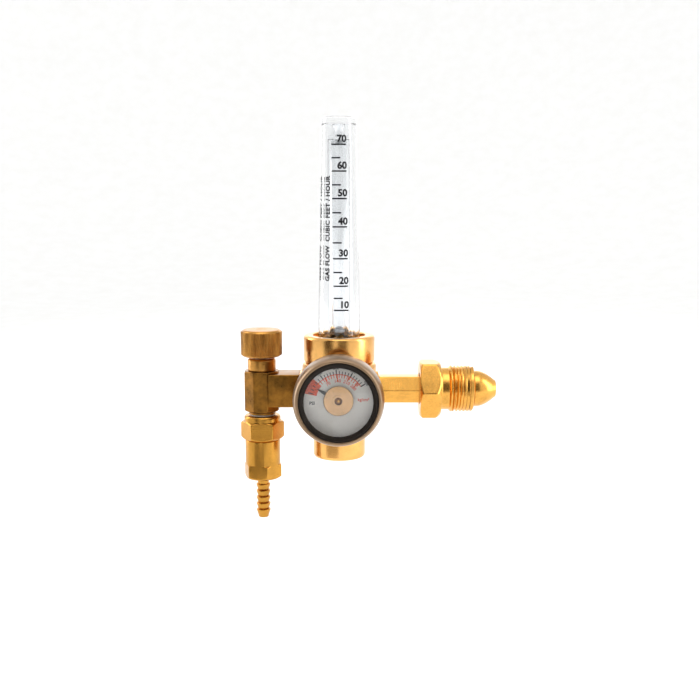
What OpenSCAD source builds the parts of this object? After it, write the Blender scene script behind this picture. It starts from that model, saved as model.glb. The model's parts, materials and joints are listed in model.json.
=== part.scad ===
// Preset gas regulator with a flow-tube meter, for a high-pressure cylinder.
// Frame: +X along the inlet, away from the body; +Z up the flow tube; the gauge faces -Y.
// The origin is on the inlet axis, at the back of the nipple's nose, where the inlet nut seats.

/* [Body] */
// Diameter of the regulator body
body_d = 39; // [36:0.5:44]
// Height of the body above the inlet axis
body_top = 14.5; // [13.5:0.5:18]
// Depth of the body below the inlet axis
body_bottom = 17; // [15.5:0.5:20]
// Rounding of the body's outer edges
body_round = 2.2; // [0.5:0.1:3]
// From the body's side to the nose's back face
inlet_standoff = 51.1; // [46:0.1:70]
// Wall of the neck round the cover's well
neck_wall = 4; // [3:0.5:4.5]

/* [Bottom cap and pressure spring] */
// Diameter of the bottom cap
cap_d = 27.5; // [26.5:0.5:34]
// Height of the bottom cap below the body
cap_h = 19.4; // [16:0.5:26]
// Width of the cap's step outside its thread
cap_rim = 1.75; // [1:0.25:3]
// Wire diameter of the pressure spring
spring_wire = 2.2; // [1.2:0.1:2.6]
// Gap between the main spring and the cap's bore
spring_gap = 1.8; // [0.5:0.1:2.5]
// Turns of the pressure spring
spring_turns = 4; // [3:1:5]
// Thickness of the diaphragm
diaphragm_t = 0.8; // [0.5:0.1:1.2]

/* [Flow tube] */
// How much wider the cover is at its foot than at its top
cover_taper = 4.2; // [1:0.1:4.8]
// Gap between the metering tube and the cover's bore at the top
cover_gap = 0.95; // [0.5:0.05:1.6]
// Height of the cover's top above the inlet axis
cover_top = 140.3; // [120:1:180]
// Wall of the clear cover
cover_wall = 2.1; // [1.2:0.1:2.1]
// Outer diameter of the metering tube
meter_d = 11.6; // [10.5:0.1:12]
// Gap round the ball at the foot of the bore
ball_gap = 0.25; // [0.15:0.05:0.4]
// How much wider the bore is at its top than at its foot
bore_taper = 1.9; // [0.7:0.1:2.4]
// Diameter of the float ball
ball_d = 6; // [5:0.1:6.1]
// Height of the float ball's centre at no flow
ball_rest_z = 30; // [28:0.5:34]
// Diameter of the collar nut that holds the flow tube
collar_d = 37.3; // [35.5:0.5:40]
// Height of the collar nut
collar_h = 14; // [12.5:0.1:15]

/* [Gauge] */
// Diameter of the gauge's bezel
bezel_d = 45.9; // [42:0.2:52]
// Depth of the gauge from its back to the front of its bezel
gauge_depth = 16.4; // [16:0.2:20]
// From the body's front to the back of the gauge
gauge_standoff = 3.5; // [2.5:0.5:4.5]
// Width of the black ring
ring_w = 2.85; // [2:0.05:4]
// Angle of the pointer at rest, anticlockwise from +X as seen from the front
pointer_angle = 150.5; // [40:0.5:166]
// Length of the pointer from its axis to its tip
pointer_reach = 12; // [9:0.5:14]
// Diameter of the brass hub disc over the pointer's axis
hub_d = 14.8; // [8:0.2:15]
// Teeth of the pointer's pinion
pinion_teeth = 10; // [8:1:12]
// Teeth that the sector gear would have as a whole wheel
sector_teeth = 60; // [50:5:70]
// Gear module
gear_module = 0.3; // [0.25:0.05:0.3]

/* [Needle valve and outlet] */
// From the body's side to the valve's axis
valve_standoff = 21.3; // [18.5:0.5:30]
// Width across the flats of the valve body
valve_flats = 17.8; // [16:0.5:19]
// Height of the valve body above the inlet axis
valve_top = 9.8; // [9.2:0.1:14]
// Depth of the valve body below the inlet axis
valve_bottom = 12.2; // [11:0.1:15]
// Diameter of the knob
knob_d = 21.6; // [18:0.2:26]
// Height of the knob
knob_h = 14; // [10:0.5:16]
// Diameter of the bonnet under the knob
bonnet_d = 14.8; // [12.5:0.1:15]
// Land of the outlet adapter's flats outside its thread
adapter_land = 1.9; // [0.8:0.025:3]
// Wall of the outlet nut at its flats
outlet_nut_wall = 0.8; // [0.7:0.05:2]
// Diameter of the outlet thread
outlet_thread_d = 16.2; // [14:0.1:17]
// Diameter over the barb's ridges
barb_d = 7.5; // [6.5:0.1:9]
// Distance between the barb's ridges
barb_pitch = 3.5; // [3:0.1:3.6]
// Number of the barb's ridges
barb_ridges = 5; // [3:1:5]

/* [Inlet] */
// Width across the flats of the nipple's hexagon stem
stem_flats = 13.9; // [12.5:0.1:14.2]
// Width across the flats of the inlet nut
nut_flats = 28.6; // [27:0.1:32]
// Length of the inlet nut's hexagon
nut_hex_l = 10.9; // [9:0.1:14]
// Outer diameter of the inlet thread
nut_thread_d = 24.5; // [23:0.1:26]
// Threads of the inlet nut per inch
nut_threads_per_inch = 14; // [11:1:18]
// Length of the inlet thread
nut_thread_l = 12; // [10:0.5:14]
// Width of the step that holds the inlet nut
nose_lip = 1.15; // [0.8:0.05:1.7]
// Length of the nipple's nose
nose_l = 11.9; // [10:0.1:14]

/* [Fits] */
// Radial clearance of screwed and seated joints
fit = 0.05; // [0.03:0.01:0.1]
// Radial clearance of pieces that turn or slide on each other
running = 0.08; // [0.06:0.01:0.1]

/* [Hidden] */

$fn = 96;
tiny = 0.01;

// Body passages and seats, from the inlet axis
body_r = body_d / 2;
boss_reach = body_r + 1.2;
boss_r = 9.2;
gauge_boss_r = 7.5;
port_thread_r = 5;
port_depth = 7.5;
gas_bore_r = 2;
drill_r = 1.25;
side_passage = 8;
high_chamber_r = 4.5;
high_chamber_top = 4.2;
nozzle_top = -2;
nozzle_bottom = -5;
diaphragm_z = -8;
cross_drill_z = 7.4;
collar_z = body_top + 0.3;
collar_top = collar_z + collar_h;
neck_top = collar_top - 7.2;
well_floor = 13.2;
well_gap = 0.05;

// Relief valve, from the body's axis towards the back
relief_r = 3.5;
relief_start = 13.1;
relief_seat = 14.6;
relief_disc_t = 1.2;
relief_end = body_r + 6.6;
relief_bore_end = body_r + 5.4;

// Bottom cap and its spring
cap_thread_r = cap_d / 2 - cap_rim;
cap_bottom = -body_bottom - cap_h;
slip_ring_t = 1;
cap_mouth = diaphragm_z - diaphragm_t - slip_ring_t;
cap_bore_r = cap_thread_r - 2.6;
cap_floor = cap_bottom + 7.5;
low_chamber_r = cap_thread_r - 2.5;
spring_d = 2 * (cap_bore_r - spring_gap) - spring_wire;
plate_t = 1.4;
plate_z = diaphragm_z - diaphragm_t - plate_t;
seat_t = 1.6;
setting_r = 4.5;
spring_top = plate_z;
spring_bottom = cap_floor + seat_t;

// Flow tube
meter_bore_low = ball_d + 2 * ball_gap;
meter_bore_high = meter_bore_low + bore_taper;
cover_d_high = meter_d + 2 * (cover_gap + cover_wall);
cover_d_low = cover_d_high + cover_taper;
well_r = cover_d_low / 2 + well_gap;
neck_r = well_r + neck_wall;
cover_flange_r = neck_r - 1.2;
cover_flange_t = 1.6;
lip_z = neck_top + cover_flange_t + 0.3;
meter_foot = well_floor - 3.4;
meter_top = cover_top - 11.5;
stop_depth = 2.4;
plug_top = ball_rest_z - ball_d / 2 - 0.1;
plug_low = plug_top - 4;
cover_roof = 3.4;
oring_t = 1.6;

// Gauge: g is the distance in front of the body's axis
gauge_back = body_r + gauge_standoff;
gauge_front = gauge_back + gauge_depth;
case_r = bezel_d / 2 - 1.9;
case_wall = 0.9;
bezel_lip_r = bezel_d / 2 - 2.95;
dial_seen_r = bezel_lip_r - ring_w;
ring_g = gauge_front - 1.5;
lens_g = ring_g - 1.6;
case_front = lens_g - 1.8;
dial_g = gauge_front - 8.2;
dial_r = dial_seen_r + 1.1;
dial_t = 0.6;
dial_screw_y = 5.2;
dial_screw_r = 0.5;
back_plate_g = gauge_back + 2.4;
front_plate_g = dial_g - 1.3;
plate_sheet = 0.6;
bourdon_r = case_r - case_wall - 5.1;
// The movement shrinks and grows with the room inside the bourdon tube
movement_room_r = 15.05;
movement_scale = bourdon_r / movement_room_r;
tooth_module = gear_module * movement_scale;
pinion_pitch_r = tooth_module * pinion_teeth / 2;
sector_pitch_r = tooth_module * sector_teeth / 2;
gear_distance = pinion_pitch_r + sector_pitch_r;
gear_backlash = 0.06;
arbor_r = 0.6;
pivot_r = 0.45;
zero_angle = 166;
full_angle = 32;
sector_spare = 3;
gear_g = back_plate_g + 1.4;
gear_face = 0.8;
socket_w = 8;

// Needle valve and outlet
valve_reach = body_r + valve_standoff;
valve_r = valve_flats / 2;
bar_w = valve_flats - 0.5;
valve_neck_z = -valve_bottom - 1.2;
washer_t = 0.5;
washer_r = 6.6;
valve_neck_r = 7;
spigot_r = 3.6;
adapter_flats = outlet_thread_d + 2 * adapter_land;
outlet_nut_flats = outlet_thread_d + 2 * outlet_nut_wall;
adapter_collar_r = adapter_flats / 2 - 0.275;
adapter_turn = 3;
outlet_nut_turn = -13;
barrel_r = outlet_thread_d / 2 + 1.15;
collar_l = 3.4;
adapter_hex_l = 9.3;
barrel_l = 13.9;
outlet_hex_l = 7.6;
adapter_top = valve_neck_z - washer_t;
adapter_hex_z = adapter_top - collar_l;
adapter_end = adapter_hex_z - adapter_hex_l;
barrel_end = adapter_end - barrel_l;
outlet_end = barrel_end - outlet_hex_l;
barb_neck_l = 3.6;
barb_end = outlet_end - barb_neck_l - barb_ridges * barb_pitch - 0.9;
barb_root_r = barb_d / 2 - 0.75;
barb_bore_r = 1.6;
outlet_bore_r = 1.6;
outlet_pitch = 25.4 / 18;
spigot_end = adapter_end - 9;
bonnet_top = valve_top + 6.6;
knob_z = bonnet_top + 1;
stem_r = 2.4;
needle_seat_z = -3;
needle_seat_r = 1.5;
bonnet_thread_r = 5.4;
bonnet_foot = 4.4;
stem_hole_r = stem_r + running;
oring_z = bonnet_top - 4.5;

// Inlet, from the body's axis
inlet_reach = body_r + inlet_standoff;
nose_gap = 0.2;
nose_start = inlet_reach;
thread_end = nose_start - nose_gap;
thread_start = thread_end - nut_thread_l;
thread_pitch = 25.4 / nut_threads_per_inch;
thread_depth = 0.9;
thread_crest = 0.45;
neck_l = 5.2;
nut_back = thread_start - neck_l - nut_hex_l;
shank_r = stem_flats / 2 / cos(30) + 0.275;
nut_bore_r = shank_r + running;
nut_thread_r = nut_thread_d / 2;
nut_neck_r = nut_thread_r - 1.25;
nose_r = shank_r + nose_lip;
inlet_bore_r = 3;
nose_land = 2;
nose_mouth_r = 4;
nose_power = 1.7;
filter_l = 8;

// ---------- shared shapes ----------

// Everything is drawn about the body's axis, and this puts the origin at the inlet.
module placed() {
    translate([-inlet_reach, 0, 0]) children();
}

module along_x() {
    rotate([0, 90, 0]) children();
}

// Local x is right, y is up and z is towards the front.
module facing_front() {
    rotate([90, 0, 0]) children();
}

module on_valve_axis() {
    translate([-valve_reach, 0, 0]) children();
}

module turned(outline) {
    rotate_extrude() polygon(outline);
}

module pipe(outer_r, inner_r, z_low, z_high) {
    translate([0, 0, z_low]) difference() {
        cylinder(r = outer_r, h = z_high - z_low);
        translate([0, 0, -1]) cylinder(r = inner_r, h = z_high - z_low + 2);
    }
}

module rod(r, z_low, z_high) {
    translate([0, 0, z_low]) cylinder(r = r, h = z_high - z_low);
}

// A hexagon bar whose ends are chamfered by the cone that a lathe leaves.
module hexagon(flats, z_low, z_high, chamfer_low = 0.8, chamfer_high = 0.8) {
    corner_r = flats / 2 / cos(30);
    flat_r = flats / 2;
    slope = (corner_r - flat_r) * 1.02;
    intersection() {
        translate([0, 0, z_low]) cylinder(r = corner_r, h = z_high - z_low, $fn = 6);
        turned([
            [0, z_low],
            [corner_r - slope * chamfer_low, z_low],
            [corner_r + tiny, z_low + slope * chamfer_low * 0.6],
            [corner_r + tiny, z_high - slope * chamfer_high * 0.6],
            [corner_r - slope * chamfer_high, z_high],
            [0, z_high]
        ]);
    }
}

// Quarter-round corner points about a centre, from one angle to another.
function arc(centre, r, from, to, steps = 6) =
    [for (i = [0:steps]) let (a = from + (to - from) * i / steps) centre + r * [cos(a), sin(a)]];

// A drum with both outer edges rounded.
module round_drum(r, z_low, z_high, edge_low, edge_high) {
    turned(concat(
        [[0, z_low]],
        arc([r - edge_low, z_low + edge_low], edge_low, -90, 0),
        arc([r - edge_high, z_high - edge_high], edge_high, 0, 90),
        [[0, z_high]]
    ));
}

// A wire coil swept along its helix, with its two ends closed.
module coil(mean_r, wire_d, z_low, z_high, turns, sides = 8, steps_per_turn = 24) {
    rings = turns * steps_per_turn;
    rise = (z_high - z_low - wire_d) / rings;
    points = [
        for (i = [0:rings])
            for (j = [0:sides - 1])
                let (a = 360 * i / steps_per_turn, b = 360 * j / sides)
                    let (r = mean_r + wire_d / 2 * cos(b))
                        [r * cos(a), r * sin(a), z_low + wire_d / 2 + rise * i + wire_d / 2 * sin(b)]
    ];
    walls = [
        for (i = [0:rings - 1])
            for (j = [0:sides - 1])
                let (next = (j + 1) % sides)
                    [i * sides + j, (i + 1) * sides + j, (i + 1) * sides + next, i * sides + next]
    ];
    start_cap = [[for (j = [0:sides - 1]) j]];
    end_cap = [[for (j = [sides - 1:-1:0]) rings * sides + j]];
    polyhedron(points, concat(walls, start_cap, end_cap));
}

// Thread crests: a core cut by equal grooves, so every crest keeps the same radius.
module threaded_pin(crest_r, depth, pitch, crest, z_low, z_high) {
    grooves = floor((z_high - z_low - crest) / pitch);
    start = z_high - crest - grooves * pitch;
    difference() {
        rod(crest_r, z_low, z_high);
        for (i = [0:grooves - 1]) {
            groove_low = start + i * pitch + crest;
            groove_high = groove_low + pitch - crest;
            groove_mid = (groove_low + groove_high) / 2;
            turned([
                [crest_r - depth, groove_mid - 0.1],
                [crest_r, groove_low],
                [crest_r + 1, groove_low],
                [crest_r + 1, groove_high],
                [crest_r, groove_high],
                [crest_r - depth, groove_mid + 0.1]
            ]);
        }
    }
}

// A gear blank with straight-sided teeth, slightly thin so that the mesh has backlash.
module gear_outline(teeth, pitch_r) {
    step = 360 / teeth;
    outer = pitch_r + tooth_module;
    root = pitch_r - 1.2 * tooth_module;
    half = step / 4 - gear_backlash / 2 / pitch_r * 180 / PI;
    polygon([
        for (i = [0:teeth - 1])
            for (p = [[root, -half * 1.5], [outer, -half * 0.45], [outer, half * 0.45], [root, half * 1.5]])
                p[0] * [cos(i * step + p[1]), sin(i * step + p[1])]
    ]);
}

// ---------- regulator ----------

module regulator_body() {
    color("goldenrod") placed() difference() {
        union() {
            round_drum(body_r, -body_bottom, body_top, body_round, body_round);
            rod(neck_r, body_top - 1, neck_top);
            along_x() rod(boss_r, 0, boss_reach);
            translate([-boss_reach, -boss_r, -boss_r]) cube([boss_reach, 2 * boss_r, 2 * boss_r]);
            facing_front() rod(gauge_boss_r, 0, boss_reach);
        }
        // Diaphragm bore, low-pressure chamber and high-pressure chamber, bored from below
        rod(cap_thread_r + fit, -body_bottom - 1, diaphragm_z);
        rod(low_chamber_r, diaphragm_z - 1, nozzle_bottom);
        rod(high_chamber_r, nozzle_bottom - 1, high_chamber_top);
        // Inlet and gauge ports with their gas bores
        along_x() rod(port_thread_r, boss_reach - port_depth, boss_reach + 1);
        along_x() rod(gas_bore_r, 0, boss_reach);
        facing_front() rod(port_thread_r, boss_reach - port_depth, boss_reach + 1);
        facing_front() rod(drill_r, 0, boss_reach);
        // Low-pressure gas rises behind the high-pressure chamber and crosses to the tube's foot
        translate([0, side_passage, 0]) rod(drill_r, nozzle_bottom - 1, cross_drill_z);
        translate([0, 0, cross_drill_z]) facing_front() rod(drill_r, -body_r - 1, 0);
        translate([0, 0, cross_drill_z]) facing_front() rod(relief_r + fit, -body_r - 1, 0.1 - relief_start);
        rod(drill_r, cross_drill_z, well_floor);
        // Wells of the metering tube and of the cover
        rod(meter_d / 2 + fit, meter_foot, well_floor + 1);
        rod(well_r, well_floor, neck_top + 1);
        // Return drilling from the well down to the valve port
        translate([-side_passage, 0, 0]) rod(drill_r, 0, well_floor + 1);
        along_x() rod(gas_bore_r, -boss_reach, -side_passage);
        along_x() rod(port_thread_r, -boss_reach - 1, port_depth - boss_reach);
    }
}

module bottom_cap() {
    color("goldenrod") placed() difference() {
        union() {
            round_drum(cap_d / 2, cap_bottom, -body_bottom, 1.6, 0.3);
            rod(cap_thread_r, -body_bottom - 1, cap_mouth);
        }
        rod(cap_bore_r, cap_floor, cap_mouth + 1);
        rod(setting_r + fit, cap_bottom - 1, cap_floor + 1);
    }
}

module setting_screw() {
    color("silver") placed() difference() {
        rod(setting_r, cap_bottom + 1.4, cap_floor);
        translate([0, 0, cap_bottom]) cylinder(r = 2.3, h = 4.4, $fn = 6);
    }
}

module spring_seat() {
    color("silver") placed() difference() {
        union() {
            rod(cap_bore_r - 0.4, cap_floor, cap_floor + seat_t);
            rod(spring_d / 2 - spring_wire / 2 - 0.4, cap_floor, cap_floor + seat_t + 1.2);
        }
        rod(1.5, cap_floor - 1, cap_floor + 1);
    }
}

module main_spring() {
    color("gray") placed() coil(spring_d / 2, spring_wire, spring_bottom, spring_top, spring_turns);
}

module slip_ring() {
    color("khaki") placed() pipe(cap_thread_r - fit, cap_bore_r, cap_mouth, cap_mouth + slip_ring_t);
}

module diaphragm() {
    color("black") placed() rod(cap_thread_r - fit, diaphragm_z - diaphragm_t, diaphragm_z);
}

module diaphragm_plate() {
    color("silver") placed() union() {
        rod(spring_d / 2 + spring_wire / 2 + 0.3, plate_z, plate_z + plate_t);
        rod(spring_d / 2 - spring_wire / 2 - 0.4, plate_z - 1.2, plate_z + 0.2);
    }
}

module seat_nozzle() {
    color("gold") placed() difference() {
        rod(high_chamber_r - fit, nozzle_bottom, nozzle_top - 0.8);
        rod(1.3, nozzle_bottom - 1, nozzle_top);
    }
}

module poppet() {
    color("silver") placed() union() {
        rod(2.6, nozzle_top - 0.8, nozzle_top + 1.2);
        rod(1.4, nozzle_top, nozzle_top + 2.6);
        rod(0.8, diaphragm_z, nozzle_top);
    }
}

module poppet_spring() {
    color("gray") placed() coil(2, 0.5, nozzle_top + 1.2, high_chamber_top, 4, 6, 16);
}

// The relief valve is drawn along z and laid on the cross drilling at the back.
module at_relief_port() {
    translate([0, 0, cross_drill_z]) rotate([-90, 0, 0]) children();
}

module relief_valve_body() {
    color("goldenrod") placed() at_relief_port() difference() {
        union() {
            rod(relief_r, relief_start, body_r + 0.5);
            hexagon(10, body_r + 0.3, body_r + 4.3, 0, 0.8);
            rod(4, body_r + 4.2, relief_end);
        }
        rod(1.1, relief_start - 1, relief_seat + 1);
        rod(2.5, relief_seat, relief_bore_end);
        rod(1, relief_bore_end - 0.4, relief_end + 1);
    }
}

module relief_disc() {
    color("silver") placed() at_relief_port() union() {
        rod(2.2, relief_seat, relief_seat + relief_disc_t);
        rod(0.9, relief_seat + 1, relief_seat + 3.4);
    }
}

module relief_spring() {
    color("gray") placed() at_relief_port() coil(1.6, 0.45, relief_seat + relief_disc_t, relief_bore_end, 7, 6, 16);
}

// ---------- inlet ----------

// One corner of the hexagon faces the front.
module inlet_nipple() {
    ogive = [
        for (i = [0:12])
            let (t = i / 12)
                [nose_mouth_r + (nose_r - nose_mouth_r) * (1 - pow(t, nose_power)),
                 nose_start + nose_land + (nose_l - nose_land) * t]
    ];
    color("gold") placed() along_x() difference() {
        union() {
            rod(port_thread_r - fit, boss_reach - port_depth + 0.5, boss_reach + 1);
            rotate([0, 0, 90]) hexagon(stem_flats, boss_reach, nut_back + 2, 0.4, 0);
            rod(shank_r, nut_back + 1, nose_start + tiny);
            turned(concat([[0, nose_start], [nose_r, nose_start]], ogive, [[0, nose_start + nose_l]]));
        }
        rod(inlet_bore_r, nose_start, nose_start + nose_l + 1);
        rod(gas_bore_r, 0, nose_start + 1);
    }
}

module inlet_nut() {
    hex_end = nut_back + nut_hex_l;
    color("gold") placed() along_x() difference() {
        union() {
            rotate([0, 0, 90]) hexagon(nut_flats, nut_back, hex_end, 1, 1);
            turned([[0, hex_end - 1], [nut_neck_r + 0.4, hex_end - 1], [nut_neck_r + 0.4, hex_end],
                    [nut_neck_r, hex_end + 0.6], [nut_neck_r, thread_start + 0.5], [0, thread_start + 0.5]]);
            threaded_pin(nut_thread_r, thread_depth, thread_pitch, thread_crest,
                         thread_start, thread_end);
        }
        rod(nut_bore_r, nut_back - 1, thread_end + 1);
    }
}

module inlet_filter() {
    filter_end = nose_start + nose_l - 1.2;
    color("gray") placed() along_x() rod(inlet_bore_r, filter_end - filter_l, filter_end);
}

// ---------- gauge ----------

module gauge_socket() {
    color("gold") placed() facing_front() difference() {
        union() {
            rod(port_thread_r - fit, boss_reach - port_depth + 0.5, boss_reach + 0.5);
            rod(5.6, boss_reach, gauge_back);
            rod(4, gauge_back - 0.5, gauge_back + case_wall + 0.1);
            translate([-socket_w / 2, -bourdon_r - 1.2, gauge_back + case_wall])
                cube([socket_w, bourdon_r + 4.6, 1.3]);
        }
        rod(drill_r, 0, gauge_back);
    }
}

module gauge_case() {
    color("dimgray") placed() facing_front() difference() {
        round_drum(case_r, gauge_back, case_front, 1.5, 0.1);
        round_drum(case_r - case_wall, gauge_back + case_wall, case_front + 2, 1, 0.1);
        rod(4 + fit, gauge_back - 1, gauge_back + 2);
    }
}

module gauge_bezel() {
    rim = bezel_d / 2;
    lip = bezel_lip_r + 0.5;
    skirt = gauge_back + 5;
    belly = gauge_back + 8;
    ledge_r = bezel_lip_r - 0.8;
    crown = [
        for (i = [0:10])
            let (a = 9 * i)
                [lip + (rim - lip) * cos(a), belly + (gauge_front - belly) * sin(a)]
    ];
    color("darkgray") placed() facing_front() turned(concat(
        [[case_r + fit, skirt]],
        arc([rim - 0.8, skirt + 0.8], 0.8, -90, 0),
        crown,
        [[bezel_lip_r, gauge_front - 0.3], [bezel_lip_r, lens_g], [ledge_r, lens_g],
         [ledge_r, case_front + fit], [case_r + fit, case_front + fit]]
    ));
}

module gauge_ring() {
    color("black") placed() facing_front() turned([
        [dial_seen_r, ring_g], [bezel_lip_r - fit, ring_g], [bezel_lip_r - fit, gauge_front - 0.6],
        [bezel_lip_r - 1, gauge_front - 0.35], [dial_seen_r + 0.5, ring_g + 0.7]
    ]);
}

module gauge_lens() {
    color("white", 0.3) placed() facing_front() rod(bezel_lip_r - fit, lens_g, ring_g);
}

module at_dial_screws() {
    for (side = [-1, 1])
        translate([0, side * dial_screw_y * movement_scale, 0]) children();
}

module gauge_dial() {
    color("lightgray") placed() facing_front() difference() {
        pipe(dial_r, 1.6, dial_g, dial_g + dial_t);
        at_dial_screws() rod(dial_screw_r + fit, dial_g - 1, dial_g + 1);
    }
}

// Two screws hold the dial to the movement's front plate, under the hub.
module dial_screws() {
    color("silver") placed() facing_front() at_dial_screws() union() {
        rod(0.9, dial_g + dial_t, dial_g + dial_t + 0.3);
        rod(dial_screw_r, front_plate_g, dial_g + dial_t + 0.1);
    }
}

module gauge_pointer() {
    tail = hub_d / 2 - 1;
    pointer_low = dial_g + 1.5;
    color("black") placed() facing_front() rotate([0, 0, pointer_angle]) difference() {
        translate([0, 0, pointer_low]) linear_extrude(0.3) union() {
            polygon([[-tail, -0.9], [0, -1.4], [pointer_reach - 2, -0.45], [pointer_reach, 0],
                     [pointer_reach - 2, 0.45], [0, 1.4], [-tail, 0.9]]);
            circle(r = 2.4);
        }
        rod(arbor_r, pointer_low - 1, pointer_low + 1);
    }
}

module pointer_hub() {
    hub_low = dial_g + 1.8;
    hub_r = hub_d / 2;
    color("tan") placed() facing_front() turned([
        [arbor_r, hub_low], [hub_r - 0.2, hub_low], [hub_r, hub_low + 0.2], [hub_r, hub_low + 0.45],
        [hub_r - 0.3, hub_low + 0.7], [2.6, hub_low + 1.15], [2.1, hub_low + 0.8], [arbor_r, hub_low + 0.8]
    ]);
}

module pointer_arbor() {
    color("gold") placed() facing_front() union() {
        rod(arbor_r, back_plate_g + plate_sheet + 0.1, dial_g + 2.6);
        rod(pivot_r, back_plate_g + 0.1, back_plate_g + 1);
        translate([0, 0, gear_g]) rotate([0, 0, 180 / pinion_teeth - 90])
            linear_extrude(gear_face + 0.4) gear_outline(pinion_teeth, pinion_pitch_r);
    }
}

// The sector's pivot is below the pointer's axis, and its teeth mesh at rest.
module at_sector_pivot() {
    facing_front() translate([0, -gear_distance, 0]) children();
}

// The toothed stretch covers the pointer's whole swing, with a spare tooth at each end.
module sector_gear() {
    ratio = sector_teeth / pinion_teeth;
    from = 90 - (pointer_angle - full_angle) / ratio - sector_spare;
    to = 90 + (zero_angle - pointer_angle) / ratio + sector_spare;
    rim_r = sector_pitch_r - 2;
    sheet = gear_face - 0.1;
    color("gold") placed() at_sector_pivot() union() {
        translate([0, 0, gear_g + 0.2]) linear_extrude(sheet) union() {
            intersection() {
                rotate([0, 0, 90]) gear_outline(sector_teeth, sector_pitch_r);
                polygon(concat([[0, 0]], arc([0, 0], 2 * sector_pitch_r, from, to)));
                difference() {
                    circle(r = 2 * sector_pitch_r);
                    circle(r = rim_r);
                }
            }
            rotate([0, 0, (from + to) / 2])
                polygon([[0, -1], [rim_r + 0.6, -0.7], [rim_r + 0.6, 0.7], [0, 1]]);
            circle(r = 1.6);
        }
        rod(arbor_r, back_plate_g + plate_sheet + 0.1, front_plate_g - 0.1);
        rod(pivot_r, back_plate_g + 0.1, front_plate_g + plate_sheet - 0.1);
    }
}

module movement_plates() {
    pivot_y = -gear_distance;
    plate_half_w = 4.6 * movement_scale;
    plate_foot = 2.4 * movement_scale;
    plate_head = 2.6 * movement_scale;
    plate_arm = 7 * movement_scale;
    post_x = 3.6 * movement_scale;
    post_r = 0.8 * movement_scale;
    color("gold") placed() facing_front() difference() {
        union() {
            for (g = [back_plate_g, front_plate_g])
                translate([0, 0, g]) linear_extrude(plate_sheet) union() {
                    translate([-plate_half_w, pivot_y - plate_foot])
                        square([2 * plate_half_w, plate_foot + plate_head - pivot_y]);
                    translate([-1.6, 0]) square([3.2, plate_arm]);
                }
            for (side = [-1, 1])
                translate([side * post_x, 2 * post_r, 0]) rod(post_r, back_plate_g, front_plate_g + plate_sheet);
        }
        rod(arbor_r + running, front_plate_g - 1, front_plate_g + 1);
        rod(pivot_r + running, back_plate_g - 1, back_plate_g + 1);
        translate([0, pivot_y, 0]) rod(pivot_r + running, back_plate_g - 1, front_plate_g + 1);
        at_dial_screws() rod(dial_screw_r + fit, front_plate_g - 1, front_plate_g + 1);
    }
}

module bourdon_tube() {
    start = -104;
    socket_front = gauge_back + case_wall + 1.3;
    color("goldenrod") placed() facing_front() rotate([0, 0, start]) union() {
        translate([0, 0, socket_front + 1])
            rotate_extrude(angle = 262) translate([bourdon_r - 0.7, 0]) square([1.4, 3.4]);
        translate([0, 0, socket_front])
            rotate_extrude(angle = 14) translate([bourdon_r - 1.1, 0]) square([2.2, 4.4]);
    }
}

// ---------- flow tube ----------

module tube_collar() {
    collar_r = collar_d / 2;
    recess_r = cover_d_low / 2 + 2.8;
    recess_floor = collar_top - 2.2;
    color("goldenrod") placed() difference() {
        round_drum(collar_r, collar_z, collar_top, 0.9, 1.4);
        rod(neck_r + fit, collar_z - 1, lip_z);
        rod(cover_d_low / 2 + 0.2, lip_z - 1, collar_top + 1);
        rod(recess_r, recess_floor, collar_top + 1);
    }
}

function cover_outer_r(z) =
    cover_d_low / 2 + (cover_d_high - cover_d_low) / 2 * (z - neck_top) / (cover_top - neck_top);

module flow_cover() {
    shoulder = neck_top + cover_flange_t;
    dome_r = 1.6;
    top_r = cover_outer_r(cover_top);
    color("white", 0.3) placed() turned(concat(
        [[cover_outer_r(shoulder) - cover_wall, neck_top], [cover_flange_r, neck_top],
         [cover_flange_r, shoulder], [cover_outer_r(shoulder), shoulder]],
        arc([top_r - dome_r, cover_top - dome_r], dome_r, 0, 90),
        [[0, cover_top], [0, cover_top - cover_roof], [top_r - cover_wall, cover_top - cover_roof]]
    ));
}

module cover_oring() {
    ring_inner = cover_outer_r(neck_top) - cover_wall;
    color("black") placed() pipe(well_r, ring_inner, neck_top - oring_t, neck_top);
}

module metering_tube() {
    inlet_r = 1.4;
    color("white", 0.3) placed() turned([
        [inlet_r, meter_foot], [meter_d / 2 - 0.4, meter_foot], [meter_d / 2, meter_foot + 0.4],
        [meter_d / 2, meter_top], [meter_bore_high / 2, meter_top],
        [meter_bore_low / 2, plug_low], [inlet_r, plug_low]
    ]);
}

module tube_oring() {
    color("black") placed() pipe(meter_d / 2 + 0.9, meter_d / 2 + tiny, well_floor, well_floor + oring_t);
}

module float_ball() {
    color("silver") placed() translate([0, 0, ball_rest_z]) sphere(r = ball_d / 2);
}

// A drilled plug in the tube's foot that the ball rests on.
module ball_rest() {
    color("gold") placed() pipe(meter_bore_low / 2 - fit, 1.2, plug_low, plug_top);
}

// The stop closes the tube's top but for its slots, and limits the ball's rise.
module top_stop() {
    vent_z = meter_top + 4;
    color("white", 0.5) placed() difference() {
        union() {
            rod(meter_bore_high / 2 - fit - 0.1, meter_top - stop_depth, meter_top + 0.5);
            rod(meter_d / 2, meter_top, meter_top + 2);
            rod(3.2, meter_top + 1, cover_top - cover_roof - 0.1);
        }
        rod(1.3, meter_top - stop_depth - 1, vent_z + 1);
        for (a = [0, 90])
            translate([0, 0, vent_z]) rotate([90, 0, a])
                translate([0, 0, -10]) cylinder(r = 0.9, h = 20);
    }
}

// ---------- needle valve ----------

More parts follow.
